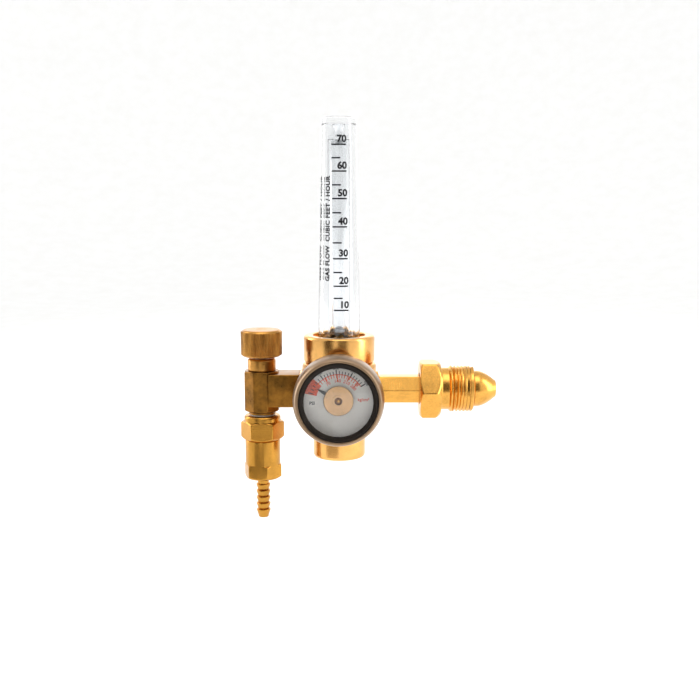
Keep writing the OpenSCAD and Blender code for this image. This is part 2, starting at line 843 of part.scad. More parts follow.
module valve_body() {
    octagon_r = valve_r / cos(22.5);
    color("peru") placed() difference() {
        union() {
            on_valve_axis() intersection() {
                translate([0, 0, -valve_bottom]) rotate([0, 0, 22.5])
                    cylinder(r = octagon_r, h = valve_top + valve_bottom, $fn = 8);
                turned([
                    [0, -valve_bottom], [octagon_r - 0.9, -valve_bottom],
                    [octagon_r + tiny, 0.6 - valve_bottom], [octagon_r + tiny, valve_top - 0.6],
                    [octagon_r - 0.9, valve_top], [0, valve_top]
                ]);
            }
            translate([-valve_reach, -bar_w / 2, -bar_w / 2])
                cube([valve_reach - boss_reach, bar_w, bar_w]);
            along_x() rod(port_thread_r - fit, -boss_reach - 1, port_depth - boss_reach - 0.5);
            on_valve_axis() rod(valve_neck_r, valve_neck_z, 0);
        }
        along_x() rod(gas_bore_r, -valve_reach, 0);
        on_valve_axis() rod(needle_seat_r, valve_neck_z - 1, 0);
        on_valve_axis() rod(3.2, needle_seat_z, valve_top + 1);
        on_valve_axis() rod(bonnet_thread_r + fit, bonnet_foot, valve_top + 1);
        on_valve_axis() rod(spigot_r + fit, valve_neck_z - 1, valve_neck_z + 5);
    }
}

module valve_bonnet() {
    color("peru") placed() on_valve_axis() difference() {
        union() {
            rod(bonnet_thread_r, bonnet_foot, valve_top + 1);
            round_drum(bonnet_d / 2, valve_top, bonnet_top, 0.2, 0.8);
        }
        rod(stem_hole_r, bonnet_foot - 1, bonnet_top + 1);
        rod(stem_r + 1.3, oring_z, oring_z + oring_t + 0.2);
    }
}

module needle_stem() {
    point = needle_seat_z - 1.2;
    seat_touch = needle_seat_r - 0.3;
    color("silver") placed() on_valve_axis() turned([
        [0, point], [0.5, point], [seat_touch, needle_seat_z], [seat_touch, needle_seat_z + 0.6],
        [stem_r, needle_seat_z + 2], [stem_r, knob_z + 8], [0, knob_z + 8]
    ]);
}

module stem_oring() {
    color("black") placed() on_valve_axis()
        pipe(stem_r + 1.3, stem_r + running, oring_z + 0.1, oring_z + 0.1 + oring_t);
}

module valve_knob() {
    knob_r = knob_d / 2;
    chamfer = 1;
    color("peru") placed() on_valve_axis() difference() {
        turned([
            [0, knob_z], [knob_r - chamfer, knob_z], [knob_r, knob_z + chamfer],
            [knob_r, knob_z + knob_h - chamfer], [knob_r - chamfer, knob_z + knob_h],
            [0, knob_z + knob_h]
        ]);
        rod(stem_r + fit, knob_z - 1, knob_z + 8 + running);
        translate([0, 0, knob_z + 5]) rotate([-90, 0, 0]) cylinder(r = 1.55, h = knob_r + 1);
    }
}

// The set screw sits in the knob's far side, with its socket outwards.
module knob_setscrew() {
    knob_r = knob_d / 2;
    color("dimgray") placed() on_valve_axis() translate([0, 0, knob_z + 5]) rotate([-90, 0, 0])
        difference() {
            rod(1.5, stem_r + fit + 0.03, knob_r - 1);
            translate([0, 0, knob_r - 2.6]) cylinder(r = 0.85, h = 3, $fn = 6);
        }
}

module outlet_washer() {
    color("ivory") placed() on_valve_axis()
        pipe(washer_r, spigot_r + fit, adapter_top, valve_neck_z);
}

module outlet_adapter() {
    color("gold") placed() on_valve_axis() rotate([0, 0, adapter_turn]) difference() {
        union() {
            rod(spigot_r, adapter_top - 1, valve_neck_z + 4.5);
            round_drum(adapter_collar_r, adapter_hex_z - 0.2, adapter_top, 0.2, 1);
            hexagon(adapter_flats, adapter_end, adapter_hex_z, 0.8, 0.6);
            threaded_pin(outlet_thread_d / 2, 0.6, outlet_pitch, 0.3, spigot_end, adapter_end + 0.5);
        }
        rod(outlet_bore_r, spigot_end - 1, adapter_top + 6);
        translate([0, 0, spigot_end - 0.5])
            cylinder(r1 = outlet_bore_r + 3, r2 = outlet_bore_r, h = 4);
    }
}

module outlet_nut() {
    thread_bore = outlet_thread_d / 2 + fit;
    floor_z = barrel_end - 2.2;
    color("gold") placed() on_valve_axis() rotate([0, 0, outlet_nut_turn]) difference() {
        union() {
            round_drum(barrel_r, barrel_end - 0.2, adapter_end - 0.2, 0.2, 0.7);
            hexagon(outlet_nut_flats, outlet_end, barrel_end, 0.9, 0.3);
        }
        rod(thread_bore, floor_z, adapter_end + 1);
        rod(barb_root_r + 1.1, outlet_end - 1, floor_z + 1);
    }
}

module hose_barb() {
    ridge_r = barb_d / 2;
    land = 0.4;
    first = outlet_end - barb_neck_l;
    head_low = barrel_end - 2.2;
    head_r = outlet_thread_d / 2 - 0.5;
    tip_r = barb_root_r - 0.2;
    ridges = [
        for (i = [0:barb_ridges - 1])
            let (z = first - i * barb_pitch)
                each [[barb_root_r, z], [ridge_r, z], [ridge_r, z - land], [tip_r, z - barb_pitch]]
    ];
    color("gold") placed() on_valve_axis() difference() {
        turned(concat(
            [[0, spigot_end + 2.4], [barb_bore_r + 0.7, spigot_end + 2.4], [barb_bore_r + 2.3, spigot_end],
             [head_r, spigot_end - 0.6], [head_r, head_low], [barb_root_r + 1, head_low],
             [barb_root_r + 1, outlet_end - 0.8], [barb_root_r, outlet_end - 1.4]],
            ridges,
            [[tip_r, barb_end], [0, barb_end]]
        ));
        rod(barb_bore_r, barb_end - 1, adapter_end);
    }
}

regulator_body();
bottom_cap();
setting_screw();
spring_seat();
main_spring();
slip_ring();
diaphragm();
diaphragm_plate();
seat_nozzle();
poppet();
poppet_spring();
relief_valve_body();
relief_disc();
relief_spring();
inlet_nipple();
inlet_nut();
inlet_filter();
gauge_socket();
gauge_case();
gauge_bezel();
gauge_ring();
gauge_lens();
gauge_dial();
dial_screws();
gauge_pointer();
pointer_hub();
pointer_arbor();
sector_gear();
movement_plates();
bourdon_tube();
tube_collar();
flow_cover();
cover_oring();
metering_tube();
tube_oring();
float_ball();
ball_rest();
top_stop();
valve_body();
valve_bonnet();
needle_stem();
stem_oring();
valve_knob();
knob_setscrew();
outlet_washer();
outlet_adapter();
outlet_nut();
hose_barb();
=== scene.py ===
"""Studio model of a preset gas regulator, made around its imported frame.

Laid out as an add-on and run as a script. Lengths in the helpers are millimetres, and every
finished piece is in metres, in the frame's own axes: +X along the inlet, +Z up the flow tube,
and the gauge faces -Y.
"""

import json
import math

import bmesh
import bpy
from mathutils import Matrix, Vector


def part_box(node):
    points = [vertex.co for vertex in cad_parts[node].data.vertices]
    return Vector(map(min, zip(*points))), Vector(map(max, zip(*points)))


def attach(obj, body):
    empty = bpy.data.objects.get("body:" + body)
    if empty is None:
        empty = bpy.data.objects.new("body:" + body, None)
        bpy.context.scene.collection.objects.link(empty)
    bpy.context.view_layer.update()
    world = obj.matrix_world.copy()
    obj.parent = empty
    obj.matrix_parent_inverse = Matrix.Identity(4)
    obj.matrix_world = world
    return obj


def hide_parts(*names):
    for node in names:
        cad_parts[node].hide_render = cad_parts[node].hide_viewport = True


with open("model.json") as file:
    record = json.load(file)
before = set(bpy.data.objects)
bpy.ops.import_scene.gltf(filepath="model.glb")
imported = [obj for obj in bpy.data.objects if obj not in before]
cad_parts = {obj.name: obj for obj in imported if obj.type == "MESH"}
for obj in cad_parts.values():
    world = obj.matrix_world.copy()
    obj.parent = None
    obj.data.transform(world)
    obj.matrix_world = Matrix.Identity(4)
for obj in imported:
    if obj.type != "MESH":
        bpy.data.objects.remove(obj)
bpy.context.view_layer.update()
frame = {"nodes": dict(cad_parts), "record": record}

bl_info = {
    "name": "Gas regulator studio model",
    "version": (1, 0, 0),
    "blender": (4, 5, 0),
    "location": "View3D > Sidebar > Regulator",
    "description": "Builds the pieces, finishes and stage of a preset gas regulator with a flow tube",
    "category": "Object",
}

MM = 0.001
TAU = 2 * math.pi
NODES = frame["nodes"]
BODIES = frame["record"]["behaviour"]["bodies"]
BODY_OF = {node: body for body, nodes in BODIES.items() for node in nodes}

# How many steps a turned piece has round its axis, from small pieces to the gauge's rims.
SMALL_ROUND = 64
MIDDLE_ROUND = 96
COMMON_ROUND = 128
WIDE_ROUND = 160

# How far printed lettering stands off its surface, in millimetres.
PRINT_LIFT = 0.03

# Where a piece's own axis points: directions of its local x, y and z in the frame.
UP = (Vector((1, 0, 0)), Vector((0, 1, 0)), Vector((0, 0, 1)))
RIGHT = (Vector((0, 1, 0)), Vector((0, 0, 1)), Vector((1, 0, 0)))
FRONT = (Vector((1, 0, 0)), Vector((0, 0, 1)), Vector((0, -1, 0)))
BACK = (Vector((-1, 0, 0)), Vector((0, 0, 1)), Vector((0, 1, 0)))


# ---------- places taken from the frame, in millimetres ----------

BOXES = {node: [Vector(corner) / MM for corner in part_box(node)] for node in NODES}


def low(node):
    """Lowest corner of a CAD node."""
    return BOXES[node][0]


def high(node):
    """Highest corner of a CAD node."""
    return BOXES[node][1]


def middle(node):
    """Centre of a CAD node's box."""
    return (low(node) + high(node)) / 2


def radius(node, axis=0):
    """Half of a CAD node's width along x (0), y (1) or z (2)."""
    return (high(node) - low(node))[axis] / 2


BODY_AXIS = middle("bottom_cap")
BODY_ORIGIN = Vector((BODY_AXIS.x, BODY_AXIS.y, 0))
VALVE_AXIS = middle("hose_barb")
VALVE_ORIGIN = Vector((VALVE_AXIS.x, VALVE_AXIS.y, 0))
INLET_ORIGIN = Vector((0, 0, 0))
GAUGE_ORIGIN = Vector((BODY_AXIS.x, 0, 0))


# ---------- settings ----------

def colour_property(name, description, value):
    """A colour that a user may change, kept as an sRGB hex value."""
    return bpy.props.StringProperty(name=name, description=description, default=value)


def length_property(name, description, value, least, most):
    """A length in millimetres."""
    return bpy.props.FloatProperty(name=name, description=description, default=value, min=least, max=most)


class RegulatorFinish(bpy.types.PropertyGroup):
    """Colours of the finishes."""

    polished: colour_property("Polished brass", "Body, bottom cap and collar", "#E8B066")
    valve: colour_property("Valve brass", "Body of the needle valve", "#94662A")
    knob: colour_property("Knob brass", "Bonnet and knob of the needle valve", "#BC8743")
    fitting: colour_property("Inlet brass", "Inlet nut and nipple", "#DFA550")
    outlet: colour_property("Outlet brass", "Adapter, nut and hose barb", "#BE893A")
    hub: colour_property("Hub brass", "Turned disc over the pointer's axis", "#D8AF82")
    bezel: colour_property("Bezel metal", "Spun ring and case of the gauge", "#93795F")
    ring: colour_property("Ring", "Black ring inside the bezel", "#1A120B")
    dial: colour_property("Dial", "Printed face of the gauge", "#F7F0E8")
    ink: colour_property("Black ink", "Marks on the dial and the flow tube", "#17161A")
    red_ink: colour_property("Red ink", "Inner marks and red band of the dial", "#EE4E14")
    clear: colour_property("Clear plastic", "Flow tube", "#FAFBFC")


class RegulatorGauge(bpy.types.PropertyGroup):
    """Sizes of what is printed on the dial, in millimetres and degrees."""

    arc_r: length_property("Scale radius", "Radius of the scale's line", 12.9, 10, 14)
    minor: length_property("Minor mark", "Length of a minor mark", 1.5, 0.5, 2)
    major: length_property("Major mark", "Length of a major mark", 2.4, 1, 3)
    divisions: bpy.props.IntProperty(
        name="Divisions", description="Minor divisions between two numbers", default=5, min=2, max=10)
    band_from: bpy.props.FloatProperty(
        name="Red band start", description="Angle where the red band starts", subtype="ANGLE",
        default=math.radians(139), min=0, max=math.pi)
    band_to: bpy.props.FloatProperty(
        name="Red band end", description="Angle where the red band ends", subtype="ANGLE",
        default=math.radians(168), min=0, max=math.pi)


class RegulatorKnurl(bpy.types.PropertyGroup):
    """Sizes of the knob's straight knurl."""

    ridges: bpy.props.IntProperty(
        name="Ridges", description="Ridges round the knob", default=84, min=40, max=160)
    depth: length_property("Depth", "Height of a ridge", 0.32, 0.1, 0.6)


class RegulatorTube(bpy.types.PropertyGroup):
    """Sizes of the flow scale printed on the clear cover."""

    digit_h: length_property("Digit height", "Height of the scale's digits", 3.5, 2, 5)
    mark_w: length_property("Mark length", "Length of a numbered mark", 7.6, 4, 10)
    mark_h: length_property("Mark thickness", "Thickness of a mark", 0.75, 0.3, 1)


class RegulatorStage(bpy.types.PropertyGroup):
    """Camera and light."""

    lens: bpy.props.FloatProperty(name="Lens", description="Focal length", subtype="DISTANCE_CAMERA",
                                  default=51.84, min=20, max=120)
    distance: length_property("Distance", "From the body's axis to the camera", 524, 300, 2000)
    sky: bpy.props.FloatProperty(name="Sky", description="Strength of the studio's even light",
                                 default=1.0, min=0, max=3)


def settings(group):
    """One of the registered property groups on the scene."""
    return getattr(bpy.context.scene, "regulator_" + group)


# ---------- colour and material helpers ----------

def linear(hex_value):
    """sRGB hex to linear red, green, blue and alpha, by the constants of the sRGB curve."""
    knee, slope, offset, scale, power = 0.04045, 12.92, 0.055, 1.055, 2.4
    parts = [int(hex_value[i:i + 2], 16) / 255 for i in (1, 3, 5)]
    return [c / slope if c <= knee else ((c + offset) / scale) ** power for c in parts] + [1.0]


def shade(hex_value, factor):
    """A hex colour made darker or lighter."""
    parts = [min(255, round(int(hex_value[i:i + 2], 16) * factor)) for i in (1, 3, 5)]
    return "#%02X%02X%02X" % tuple(parts)


def add(tree, kind, settings_=None, **inputs):
    """Adds a node with its settings and its inputs, which are values or another node's output."""
    node = tree.nodes.new(kind)
    for key, value in (settings_ or {}).items():
        setattr(node, key, value)
    for key, value in inputs.items():
        socket = node.inputs[int(key[1:])] if key[0] == "_" else node.inputs[key.replace("_", " ")]
        if isinstance(value, bpy.types.NodeSocket):
            tree.links.new(value, socket)
        else:
            socket.default_value = value
    return node


def ramp(tree, factor, stops):
    """A colour ramp over [(position, hex colour)]."""
    node = add(tree, "ShaderNodeValToRGB", Fac=factor)
    band = node.color_ramp
    while len(band.elements) < len(stops):
        band.elements.new(0.5)
    for element, (position, colour) in zip(band.elements, stops):
        element.position = position
        element.color = linear(colour)
    return node.outputs["Color"]


def spread(tree, factor, from_, to):
    """Maps a 0 to 1 value onto another range."""
    node = add(tree, "ShaderNodeMapRange", _0=factor, _3=from_, _4=to)
    return node.outputs["Result"]


def new_material(name, **constants):
    """An empty material with one shader, whose constants are set on its own sockets."""
    material = bpy.data.materials.new(name)
    material.use_nodes = True
    tree = material.node_tree
    tree.nodes.clear()
    shader = add(tree, "ShaderNodeBsdfPrincipled")
    for key, value in constants.items():
        shader.inputs[key.replace("_", " ")].default_value = value
    output = add(tree, "ShaderNodeOutputMaterial")
    tree.links.new(shader.outputs[0], output.inputs[0])
    return material, tree, shader


def object_noise(tree, scale_mm, detail=4.0, roughness=0.55, stretch=(1, 1, 1)):
    """Noise on object coordinates whose main blotches are about scale_mm across."""
    where = add(tree, "ShaderNodeTexCoord").outputs["Object"]
    placed = add(tree, "ShaderNodeMapping", Vector=where, Scale=stretch)
    return add(tree, "ShaderNodeTexNoise", Vector=placed.outputs[0], Scale=1000 / scale_mm,
               Detail=detail, Roughness=roughness).outputs["Fac"]


def lathe_lines(tree, pitch_mm, detail=3.0):
    """Noise that only changes along a turned piece's outline, as tool marks do."""
    outline = add(tree, "ShaderNodeAttribute", {"attribute_name": "outline_mm"}).outputs["Fac"]
    return add(tree, "ShaderNodeTexNoise", {"noise_dimensions": "1D"}, W=outline, Scale=1 / pitch_mm,
               Detail=detail, Roughness=0.6).outputs["Fac"]


def bump(tree, shader, height, strength, distance_mm, normal=None):
    """Feeds a height to the shader's normal."""
    node = add(tree, "ShaderNodeBump", Height=height, Strength=strength, Distance=distance_mm * MM)
    if normal is not None:
        tree.links.new(normal, node.inputs["Normal"])
    tree.links.new(node.outputs[0], shader.inputs["Normal"])
    return node.outputs[0]


def brass(name, colour, rough, lines, line_depth, mottle=0.5, dark=0.78, brushed=0.0, axis="Z"):
    """Free-cutting brass off the lathe: fine tool rings, warm mottling and a little handling tarnish."""
    material, tree, shader = new_material(name, Metallic=1.0, Anisotropic=brushed)
    if brushed:
        around = add(tree, "ShaderNodeTangent", {"direction_type": "RADIAL", "axis": axis})
        tree.links.new(around.outputs[0], shader.inputs["Tangent"])
    blotch = object_noise(tree, 9, detail=5)
    grain = object_noise(tree, 1.1, detail=3)
    tint = add(tree, "ShaderNodeMix", {"data_type": "FLOAT"}, _0=0.35, _2=blotch, _3=grain).outputs[0]
    tree.links.new(ramp(tree, tint, [(0.5 - mottle / 2, shade(colour, dark)), (0.5, colour),
                                     (0.5 + mottle / 2, shade(colour, 1.07))]),
                   shader.inputs["Base Color"])
    rings = lathe_lines(tree, lines)
    wear = add(tree, "ShaderNodeMix", {"data_type": "FLOAT"}, _0=0.5, _2=rings, _3=blotch).outputs[0]
    tree.links.new(spread(tree, wear, rough * 0.7, rough * 1.4), shader.inputs["Roughness"])
    first = bump(tree, shader, rings, 0.35, line_depth)
    bump(tree, shader, grain, 0.12, 0.02, first)
    return material


def cast_brass(name, colour):
    """Hot-stamped brass, then milled: a faint dimpled skin, olive tarnish and duller faces."""
    material, tree, shader = new_material(name, Metallic=1.0)
    blotch = object_noise(tree, 6, detail=6, roughness=0.65)
    pits = object_noise(tree, 0.7, detail=2)
    tree.links.new(ramp(tree, blotch, [(0.3, shade(colour, 0.66)), (0.5, shade(colour, 0.92)),
                                       (0.7, shade(colour, 1.12))]), shader.inputs["Base Color"])
    tree.links.new(spread(tree, blotch, 0.2, 0.42), shader.inputs["Roughness"])
    bump(tree, shader, pits, 0.3, 0.03)
    return material


def spun_metal(name, colour):
    """Spun and lacquered gauge metal: satin rings round the axis under a bronze lacquer."""
    material, tree, shader = new_material(name, Metallic=1.0, Coat_Weight=0.25, Coat_Roughness=0.3)
    rings = lathe_lines(tree, 0.45)
    blotch = object_noise(tree, 12)
    mixed = add(tree, "ShaderNodeMix", {"data_type": "FLOAT"}, _0=0.5, _2=rings, _3=blotch).outputs[0]
    tree.links.new(ramp(tree, mixed, [(0.3, shade(colour, 0.8)), (0.5, colour),
                                      (0.7, shade(colour, 1.12))]), shader.inputs["Base Color"])
    tree.links.new(spread(tree, rings, 0.26, 0.42), shader.inputs["Roughness"])
    bump(tree, shader, rings, 0.3, 0.02)
    return material


def moulded_plastic(name, colour, rough, sheen=0.5):
    """Injection-moulded plastic: an even colour with a fine spark-eroded grain."""
    material, tree, shader = new_material(name, IOR=1.49, Specular_IOR_Level=sheen)
    grain = object_noise(tree, 0.4, detail=2)
    haze = object_noise(tree, 7)
    tree.links.new(ramp(tree, haze, [(0.3, shade(colour, 0.85)), (0.7, shade(colour, 1.15))]),
                   shader.inputs["Base Color"])
    tree.links.new(spread(tree, grain, rough * 0.8, rough * 1.2), shader.inputs["Roughness"])
    bump(tree, shader, grain, 0.15, 0.02)
    return material


def printed_dial(name, colour):
    """Aluminium dial with a sprayed silver-grey ground: fine metallic speckle and a soft sheen."""
    material, tree, shader = new_material(name, IOR=1.5)
    speckle = object_noise(tree, 0.35, detail=2)
    cloud = object_noise(tree, 14, detail=2)
    mixed = add(tree, "ShaderNodeMix", {"data_type": "FLOAT"}, _0=0.6, _2=speckle, _3=cloud).outputs[0]
    tree.links.new(ramp(tree, mixed, [(0.35, shade(colour, 0.92)), (0.65, shade(colour, 1.04))]),
                   shader.inputs["Base Color"])
    tree.links.new(spread(tree, speckle, 0.38, 0.5), shader.inputs["Roughness"])
    bump(tree, shader, speckle, 0.1, 0.01)
    return material


def printing_ink(name, colour):
    """Screen-printed ink: nearly flat colour, thinner and duller in places."""
    material, tree, shader = new_material(name, IOR=1.5, Specular_IOR_Level=0.2)
    patchy = object_noise(tree, 0.9, detail=3)
    tree.links.new(ramp(tree, patchy, [(0.3, shade(colour, 0.9)), (0.7, shade(colour, 1.15))]),
                   shader.inputs["Base Color"])
    tree.links.new(spread(tree, patchy, 0.45, 0.65), shader.inputs["Roughness"])
    return material


def clear_acrylic(name, colour, flow_mm, rough, sheen=0.5):
    """Moulded clear acrylic: glass-clear, with faint flow waves from the mould."""
    material, tree, shader = new_material(name, IOR=1.49, Transmission_Weight=1.0, Specular_IOR_Level=sheen)
    wave = object_noise(tree, flow_mm, detail=1, stretch=(1, 1, 0.25))
    tree.links.new(ramp(tree, wave, [(0.35, shade(colour, 0.985)), (0.65, colour)]),
                   shader.inputs["Base Color"])
    tree.links.new(spread(tree, wave, rough * 0.5, rough), shader.inputs["Roughness"])
    bump(tree, shader, wave, 0.12, 0.05)
    return material


def machined_steel(name, colour, rough, lines=0.3):
    """Turned stainless or drawn steel: cool grey with fine tool rings."""
    material, tree, shader = new_material(name, Metallic=1.0)
    rings = lathe_lines(tree, lines)
    blotch = object_noise(tree, 4)
    tree.links.new(ramp(tree, blotch, [(0.3, shade(colour, 0.85)), (0.7, shade(colour, 1.08))]),
                   shader.inputs["Base Color"])
    tree.links.new(spread(tree, blotch, rough * 0.7, rough * 1.4), shader.inputs["Roughness"])
    bump(tree, shader, rings, 0.2, 0.01)
    return material


def black_rubber(name):
    """Moulded nitrile rubber: soft black with a dusty bloom."""
    material, tree, shader = new_material(name, IOR=1.52)
    bloom = object_noise(tree, 1.5, detail=5)
    tree.links.new(ramp(tree, bloom, [(0.35, "#131313"), (0.7, "#2B2A29")]), shader.inputs["Base Color"])
    tree.links.new(spread(tree, bloom, 0.55, 0.8), shader.inputs["Roughness"])
    bump(tree, shader, bloom, 0.15, 0.02)
    return material


def sintered_bronze(name):
    """Sintered bronze filter: packed round grains with painted shading on each grain and painted shade in the
    pores.
    """
    material, tree, shader = new_material(name, Metallic=1.0)
    where = add(tree, "ShaderNodeTexCoord").outputs["Object"]
    grains = add(tree, "ShaderNodeTexVoronoi", Vector=where, Scale=1000 / 0.45).outputs["Distance"]
    # Light in each grain's middle and near black at its edge: painted shading of the round grains and painted
    # shade in the pores.
    tree.links.new(ramp(tree, grains, [(0.0, "#B98A58"), (0.5, "#7A5632"), (0.8, "#24170C")]),
                   shader.inputs["Base Color"])
    tree.links.new(spread(tree, grains, 0.35, 0.8), shader.inputs["Roughness"])
    bump(tree, shader, grains, -0.8, 0.15)
    return material


def painted_pointer(name, colour):
    """Thin aluminium pointer with matt black stove paint."""
    material, tree, shader = new_material(name, IOR=1.5, Specular_IOR_Level=0.25)
    orange_peel = object_noise(tree, 0.5, detail=2)
    tree.links.new(ramp(tree, orange_peel, [(0.3, shade(colour, 0.8)), (0.7, shade(colour, 1.3))]),
                   shader.inputs["Base Color"])
    tree.links.new(spread(tree, orange_peel, 0.4, 0.6), shader.inputs["Roughness"])
    bump(tree, shader, orange_peel, 0.1, 0.01)
    return material


FINISHES = {}


def make_finishes():
    """All the materials, from the colours in the settings."""
    finish = settings("finish")
    FINISHES.update({
        "brass_polished": brass("polished_turned_brass", finish.polished, rough=0.2, lines=0.6,
                                line_depth=0.012, dark=0.86, brushed=0.5),
        "brass_valve": cast_brass("stamped_valve_brass", finish.valve),
        "brass_knob": brass("knurled_knob_brass", finish.knob, rough=0.3, lines=0.5,
                            line_depth=0.02, dark=0.8),
        "brass_fitting": brass("satin_fitting_brass", finish.fitting, rough=0.24, lines=0.5,
                               line_depth=0.02, dark=0.85),
        "brass_outlet": brass("satin_outlet_brass", finish.outlet, rough=0.24, lines=0.5,
                              line_depth=0.02, dark=0.85),
        # Dark brown brass for the hub's centre: its colour is painted shade in the centre pocket and on the
        # pin.
        "brass_arbor": brass("stained_arbor_brass", "#70441A", rough=0.4, lines=0.4, line_depth=0.02),
        "brass_inner": brass("machined_inner_brass", "#C9984C", rough=0.28, lines=0.4, line_depth=0.02),
        "brass_hub": brass("face_turned_hub_brass", finish.hub, rough=0.28, lines=0.55,
                           line_depth=0.1, mottle=0.4, brushed=0.85, axis="Y"),
        "gauge_steel": spun_metal("lacquered_spun_metal", finish.bezel),
        "black_ring": moulded_plastic("moulded_black_ring", finish.ring, rough=0.5, sheen=0.2),
        "white_washer": moulded_plastic("cut_white_washer_plastic", "#DAD7CE", rough=0.5),
        "dial_face": printed_dial("sprayed_dial_aluminium", finish.dial),
        "ink": printing_ink("printed_black_ink", finish.ink),
        "red_ink": printing_ink("printed_red_ink", finish.red_ink),
        "pointer_paint": painted_pointer("stoved_black_paint", "#141315"),
        "lens_clear": clear_acrylic("clear_lens_acrylic", finish.clear, flow_mm=20, rough=0.02, sheen=0.15),
        "cover_clear": clear_acrylic("clear_cover_acrylic", finish.clear, flow_mm=8, rough=0.03),
        "meter_clear": clear_acrylic("clear_tube_acrylic", finish.clear, flow_mm=6, rough=0.03),
        "stainless_steel": machined_steel("turned_stainless_steel", "#B9BABC", rough=0.16),
        "spring_steel": machined_steel("drawn_spring_steel", "#8A8B8F", rough=0.3),
        "black_rubber": black_rubber("moulded_nitrile_rubber"),
        "sintered_filter": sintered_bronze("sintered_bronze_grains"),
    })


# ---------- mesh helpers ----------

def soften(outline, size, steps=3):
    """Rounds each corner of an open outline of (radius, height) points; its ends stay."""
    soft = [outline[0]]
    share_of_side, least_reach, nearly_straight = 0.45, 0.01, math.radians(168)
    for before, corner, after in zip(outline, outline[1:], outline[2:]):
        back, ahead = Vector(before) - Vector(corner), Vector(after) - Vector(corner)
        reach = min(size, share_of_side * back.length, share_of_side * ahead.length)
        if reach < least_reach or back.angle(ahead) > nearly_straight:
            soft.append(corner)
            continue
        start = Vector(corner) + back.normalized() * reach
        end = Vector(corner) + ahead.normalized() * reach
        for i in range(steps + 1):
            t = i / steps
            point = start.lerp(Vector(corner), t).lerp(Vector(corner).lerp(end, t), t)
            soft.append((point.x, point.y))
    soft.append(outline[-1])
    return soft


def even_angles(count):
    """Angles of a plain turned piece."""
    return [TAU * i / count for i in range(count)]


def flat_angles(sides, turn):
    """Angles that are close together at the corners of a bar with flats."""
    face = TAU / sides
    plain_steps = 16
    near = [math.radians(a) for a in (0, 0.4, 0.9, 1.6, 2.6)]
    plain = [face * i / plain_steps for i in range(1, plain_steps)]
    steps = sorted({round(a, 5) for a in near + plain + [face - a for a in near[1:]]})
    return [turn + face * side + step for side in range(sides) for step in steps]


def flats(sides, across, turn, sharpness=80):
    """Radius of a bar with softly rounded corners, at any angle. Its first corner is at turn."""
    half = math.pi / sides

    def at(angle):
        total = sum(max(0.0, math.cos(angle - turn - half - 2 * half * k)) ** sharpness
                    for k in range(sides))
        return across / 2 * total ** (-1 / sharpness)
    return at


def cut_by(outline_radius, bar, blend=60):
    """A bar cut by the cone or cylinder that a lathe leaves at one height."""
    return lambda angle: (bar(angle) ** -blend + outline_radius ** -blend) ** (-1 / blend)


def finish_mesh(name, mesh, body, finish, smooth=32):
    """Makes a finished mesh in metres into a piece that rides a body."""
    if smooth:
        mesh.shade_smooth()
        mesh.set_sharp_from_angle(angle=math.radians(smooth))
    piece = bpy.data.objects.new(name, mesh)
    bpy.context.scene.collection.objects.link(piece)
    mesh.materials.clear()
    mesh.materials.append(FINISHES[finish])
    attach(piece, body)
    return piece


def skin_mesh(name, rows, axes, origin, angles, ring=True):
    """A closed turned mesh.

    rows are (radius, height) points, and a radius may be a function of the angle. A ring joins
    its last row to its first; otherwise both ends are on the axis.
    """
    bm = bmesh.new()
    layer = bm.verts.layers.float.new("outline_mm")
    x_axis, y_axis, z_axis = axes
    made, travelled, last = [], 0.0, None
    for reach, height in rows:
        plain = reach(angles[0]) if callable(reach) else reach
        if last is not None:
            travelled += math.hypot(plain - last[0], height - last[1])
        last = (plain, height)
        if not callable(reach) and reach < 1e-6:
            loop = [bm.verts.new((origin + z_axis * height) * MM)]
        else:
            loop = []
            for angle in angles:
                r = reach(angle) if callable(reach) else reach
                around = x_axis * (r * math.cos(angle)) + y_axis * (r * math.sin(angle))
                place = origin + around + z_axis * height
                loop.append(bm.verts.new(place * MM))
        for vert in loop:
            vert[layer] = travelled
        made.append(loop)
    pairs = list(zip(made, made[1:])) + ([(made[-1], made[0])] if ring else [])
    for lower, upper in pairs:
        for i in range(len(angles)):
            j = (i + 1) % len(angles)
            corners = [lower[i % len(lower)], lower[j % len(lower)],
                       upper[j % len(upper)], upper[i % len(upper)]]
            corners = [v for k, v in enumerate(corners) if v not in corners[:k]]
            if len(corners) > 2:
                bm.faces.new(corners)
    return close_mesh(name, bm)


def close_mesh(name, bm, merge=True):
    """Merges doubles, turns the faces outward and gives a plain mesh."""
    if merge:
        bmesh.ops.remove_doubles(bm, verts=bm.verts, dist=1e-7)
    bmesh.ops.recalc_face_normals(bm, faces=bm.faces)
    mesh = bpy.data.meshes.new(name)
    bm.to_mesh(mesh)
    bm.free()
    return mesh


def turned(name, node, outline, axes, origin, finish, soft=0.25, angles=None, ring=True, smooth=32):
    """A turned piece that stands for a CAD node.

    Its outline is (radius, height) points in millimetres.
    """
    rows = soften(outline + [outline[0], outline[1]], soft)[1:-2] if ring else soften(outline, soft)
    mesh = skin_mesh(name, rows, axes, origin, angles or even_angles(COMMON_ROUND), ring)
    piece = finish_mesh(name, mesh, BODY_OF[node], finish, smooth)
    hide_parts(node)
    return piece


def join_meshes(name, meshes):
    """Joins plain meshes, each with one material, into one mesh that keeps their materials."""
    bm = bmesh.new()
    materials = []
    for mesh in meshes:
        material = mesh.materials[0] if mesh.materials else None
        if material not in materials:
            materials.append(material)
        start = len(bm.faces)
        bm.from_mesh(mesh)
        bm.faces.ensure_lookup_table()
        for face in bm.faces[start:]:
            face.material_index = materials.index(material)
    joined = bpy.data.meshes.new(name)
    bm.to_mesh(joined)
    bm.free()
    for material in materials:
        joined.materials.append(material)
    return joined


def placing(axes, origin):
    """The matrix that puts a mesh in local metres onto an axis of the frame."""
    matrix = Matrix([list(axes[0]), list(axes[1]), list(axes[2])]).transposed().to_4x4()
    return Matrix.Translation(origin * MM) @ matrix


